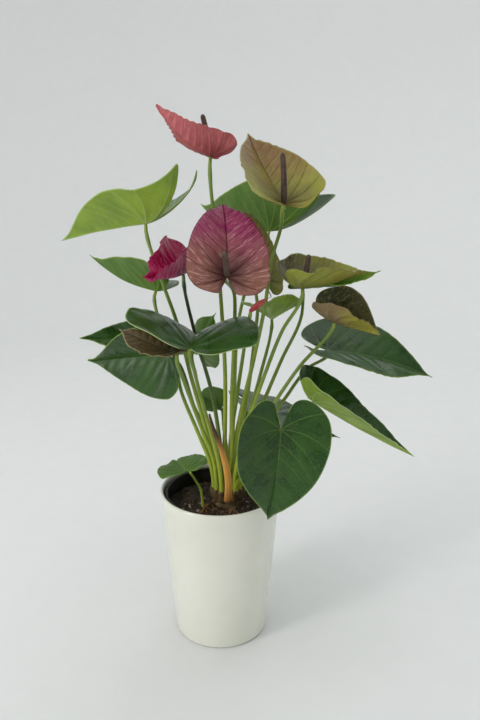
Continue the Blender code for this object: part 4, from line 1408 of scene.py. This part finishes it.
class ANTHURIUM_OT_stage(bpy.types.Operator):
    """Set the plain floor, the soft studio light and the camera"""

    bl_idname = "anthurium.stage"
    bl_label = "Stage"

    def execute(self, context):
        stage = context.scene.anthurium_stage
        bend = [(STAGE_RADIUS - STAGE_FILLET * (1 - math.sin(angle)),
                 STAGE_FILLET * (1 - math.cos(angle)))
                for angle in (math.pi / 2 * step / 16 for step in range(17))]
        bm = turned([(0, 0)] + bend + [(STAGE_RADIUS, STAGE_TOP)], 96)
        bmesh.ops.translate(bm, verts=bm.verts, vec=(0, 0, -STAGE_DROP))
        for face in bm.faces:
            if face.normal.dot(Vector((0, 0, 1)) - face.calc_center_median()) < 0:
                face.normal_flip()
        mesh = bpy.data.meshes.new("floor")
        bm.to_mesh(mesh)
        bm.free()
        mesh.shade_smooth()
        mesh.materials.append(floor_material(stage))
        floor = bpy.data.objects.new("floor", mesh)
        context.scene.collection.objects.link(floor)

        world = bpy.data.worlds.new("studio")
        world.use_nodes = True
        sky = world.node_tree.nodes["Background"].inputs
        sky["Color"].default_value = (*stage.sky, 1.0)
        sky["Strength"].default_value = stage.ambient
        context.scene.world = world
        context.scene.view_settings.view_transform = "Standard"
        area_light("window_left", (-1.45, -1.0, 0.9), (0.4, 1.9), stage.key, (1.0, 0.99, 0.97))
        area_light("window_back", (1.0, 1.9, 2.0), (2.0, 1.4), stage.back, (0.95, 0.98, 1.0))
        area_light("ceiling", (0.0, 0.0, 2.2), (1.7, 1.7), stage.top, (1.0, 1.0, 1.0))

        lens = bpy.data.cameras.new("camera")
        lens.lens = CAMERA_LENS
        lens.sensor_width = CAMERA_SENSOR
        lens.clip_start = 0.01
        camera = bpy.data.objects.new("camera", lens)
        camera.location = CAMERA_PLACE
        camera.rotation_euler = (CAMERA_TILT, 0, 0)
        context.scene.collection.objects.link(camera)
        context.scene.camera = camera
        return {"FINISHED"}


# ---- add-on -----------------------------------------------------------------
STEPS = (ANTHURIUM_OT_stage, ANTHURIUM_OT_pot, ANTHURIUM_OT_nursery_pot, ANTHURIUM_OT_soil,
         ANTHURIUM_OT_crown, ANTHURIUM_OT_roots, ANTHURIUM_OT_sheath, ANTHURIUM_OT_stalks,
         ANTHURIUM_OT_leaves, ANTHURIUM_OT_spathes, ANTHURIUM_OT_spadices, ANTHURIUM_OT_bud)
SETTINGS = {"anthurium_pot": PotSettings, "anthurium_soil": SoilSettings,
            "anthurium_stalks": StalkSettings, "anthurium_leaves": LeafSettings,
            "anthurium_stage": StageSettings}


class ANTHURIUM_PT_panel(bpy.types.Panel):
    """Sidebar panel with a button for each step of the anthurium"""

    bl_label = "Potted anthurium"
    bl_idname = "ANTHURIUM_PT_panel"
    bl_space_type = "VIEW_3D"
    bl_region_type = "UI"
    bl_category = "Anthurium"

    def draw(self, context):
        for step in STEPS:
            self.layout.operator(step.bl_idname)
        for label, group in SETTINGS.items():
            box = self.layout.box()
            settings = getattr(context.scene, label)
            for key in group.__annotations__:
                box.prop(settings, key)


def register():
    for group in SETTINGS.values():
        bpy.utils.register_class(group)
    for label, group in SETTINGS.items():
        setattr(bpy.types.Scene, label, bpy.props.PointerProperty(type=group))
    for step in STEPS:
        bpy.utils.register_class(step)
    bpy.utils.register_class(ANTHURIUM_PT_panel)


def unregister():
    bpy.utils.unregister_class(ANTHURIUM_PT_panel)
    for step in reversed(STEPS):
        bpy.utils.unregister_class(step)
    for label, group in SETTINGS.items():
        delattr(bpy.types.Scene, label)
        bpy.utils.unregister_class(group)


def main():
    register()
    bpy.ops.anthurium.stage()
    bpy.ops.anthurium.pot()
    bpy.ops.anthurium.nursery_pot()
    bpy.ops.anthurium.soil()
    bpy.ops.anthurium.crown()
    bpy.ops.anthurium.roots()
    bpy.ops.anthurium.sheath()
    bpy.ops.anthurium.stalks()
    bpy.ops.anthurium.leaves()
    bpy.ops.anthurium.spathes()
    bpy.ops.anthurium.spadices()
    bpy.ops.anthurium.bud()


if __name__ == "__main__":
    main()
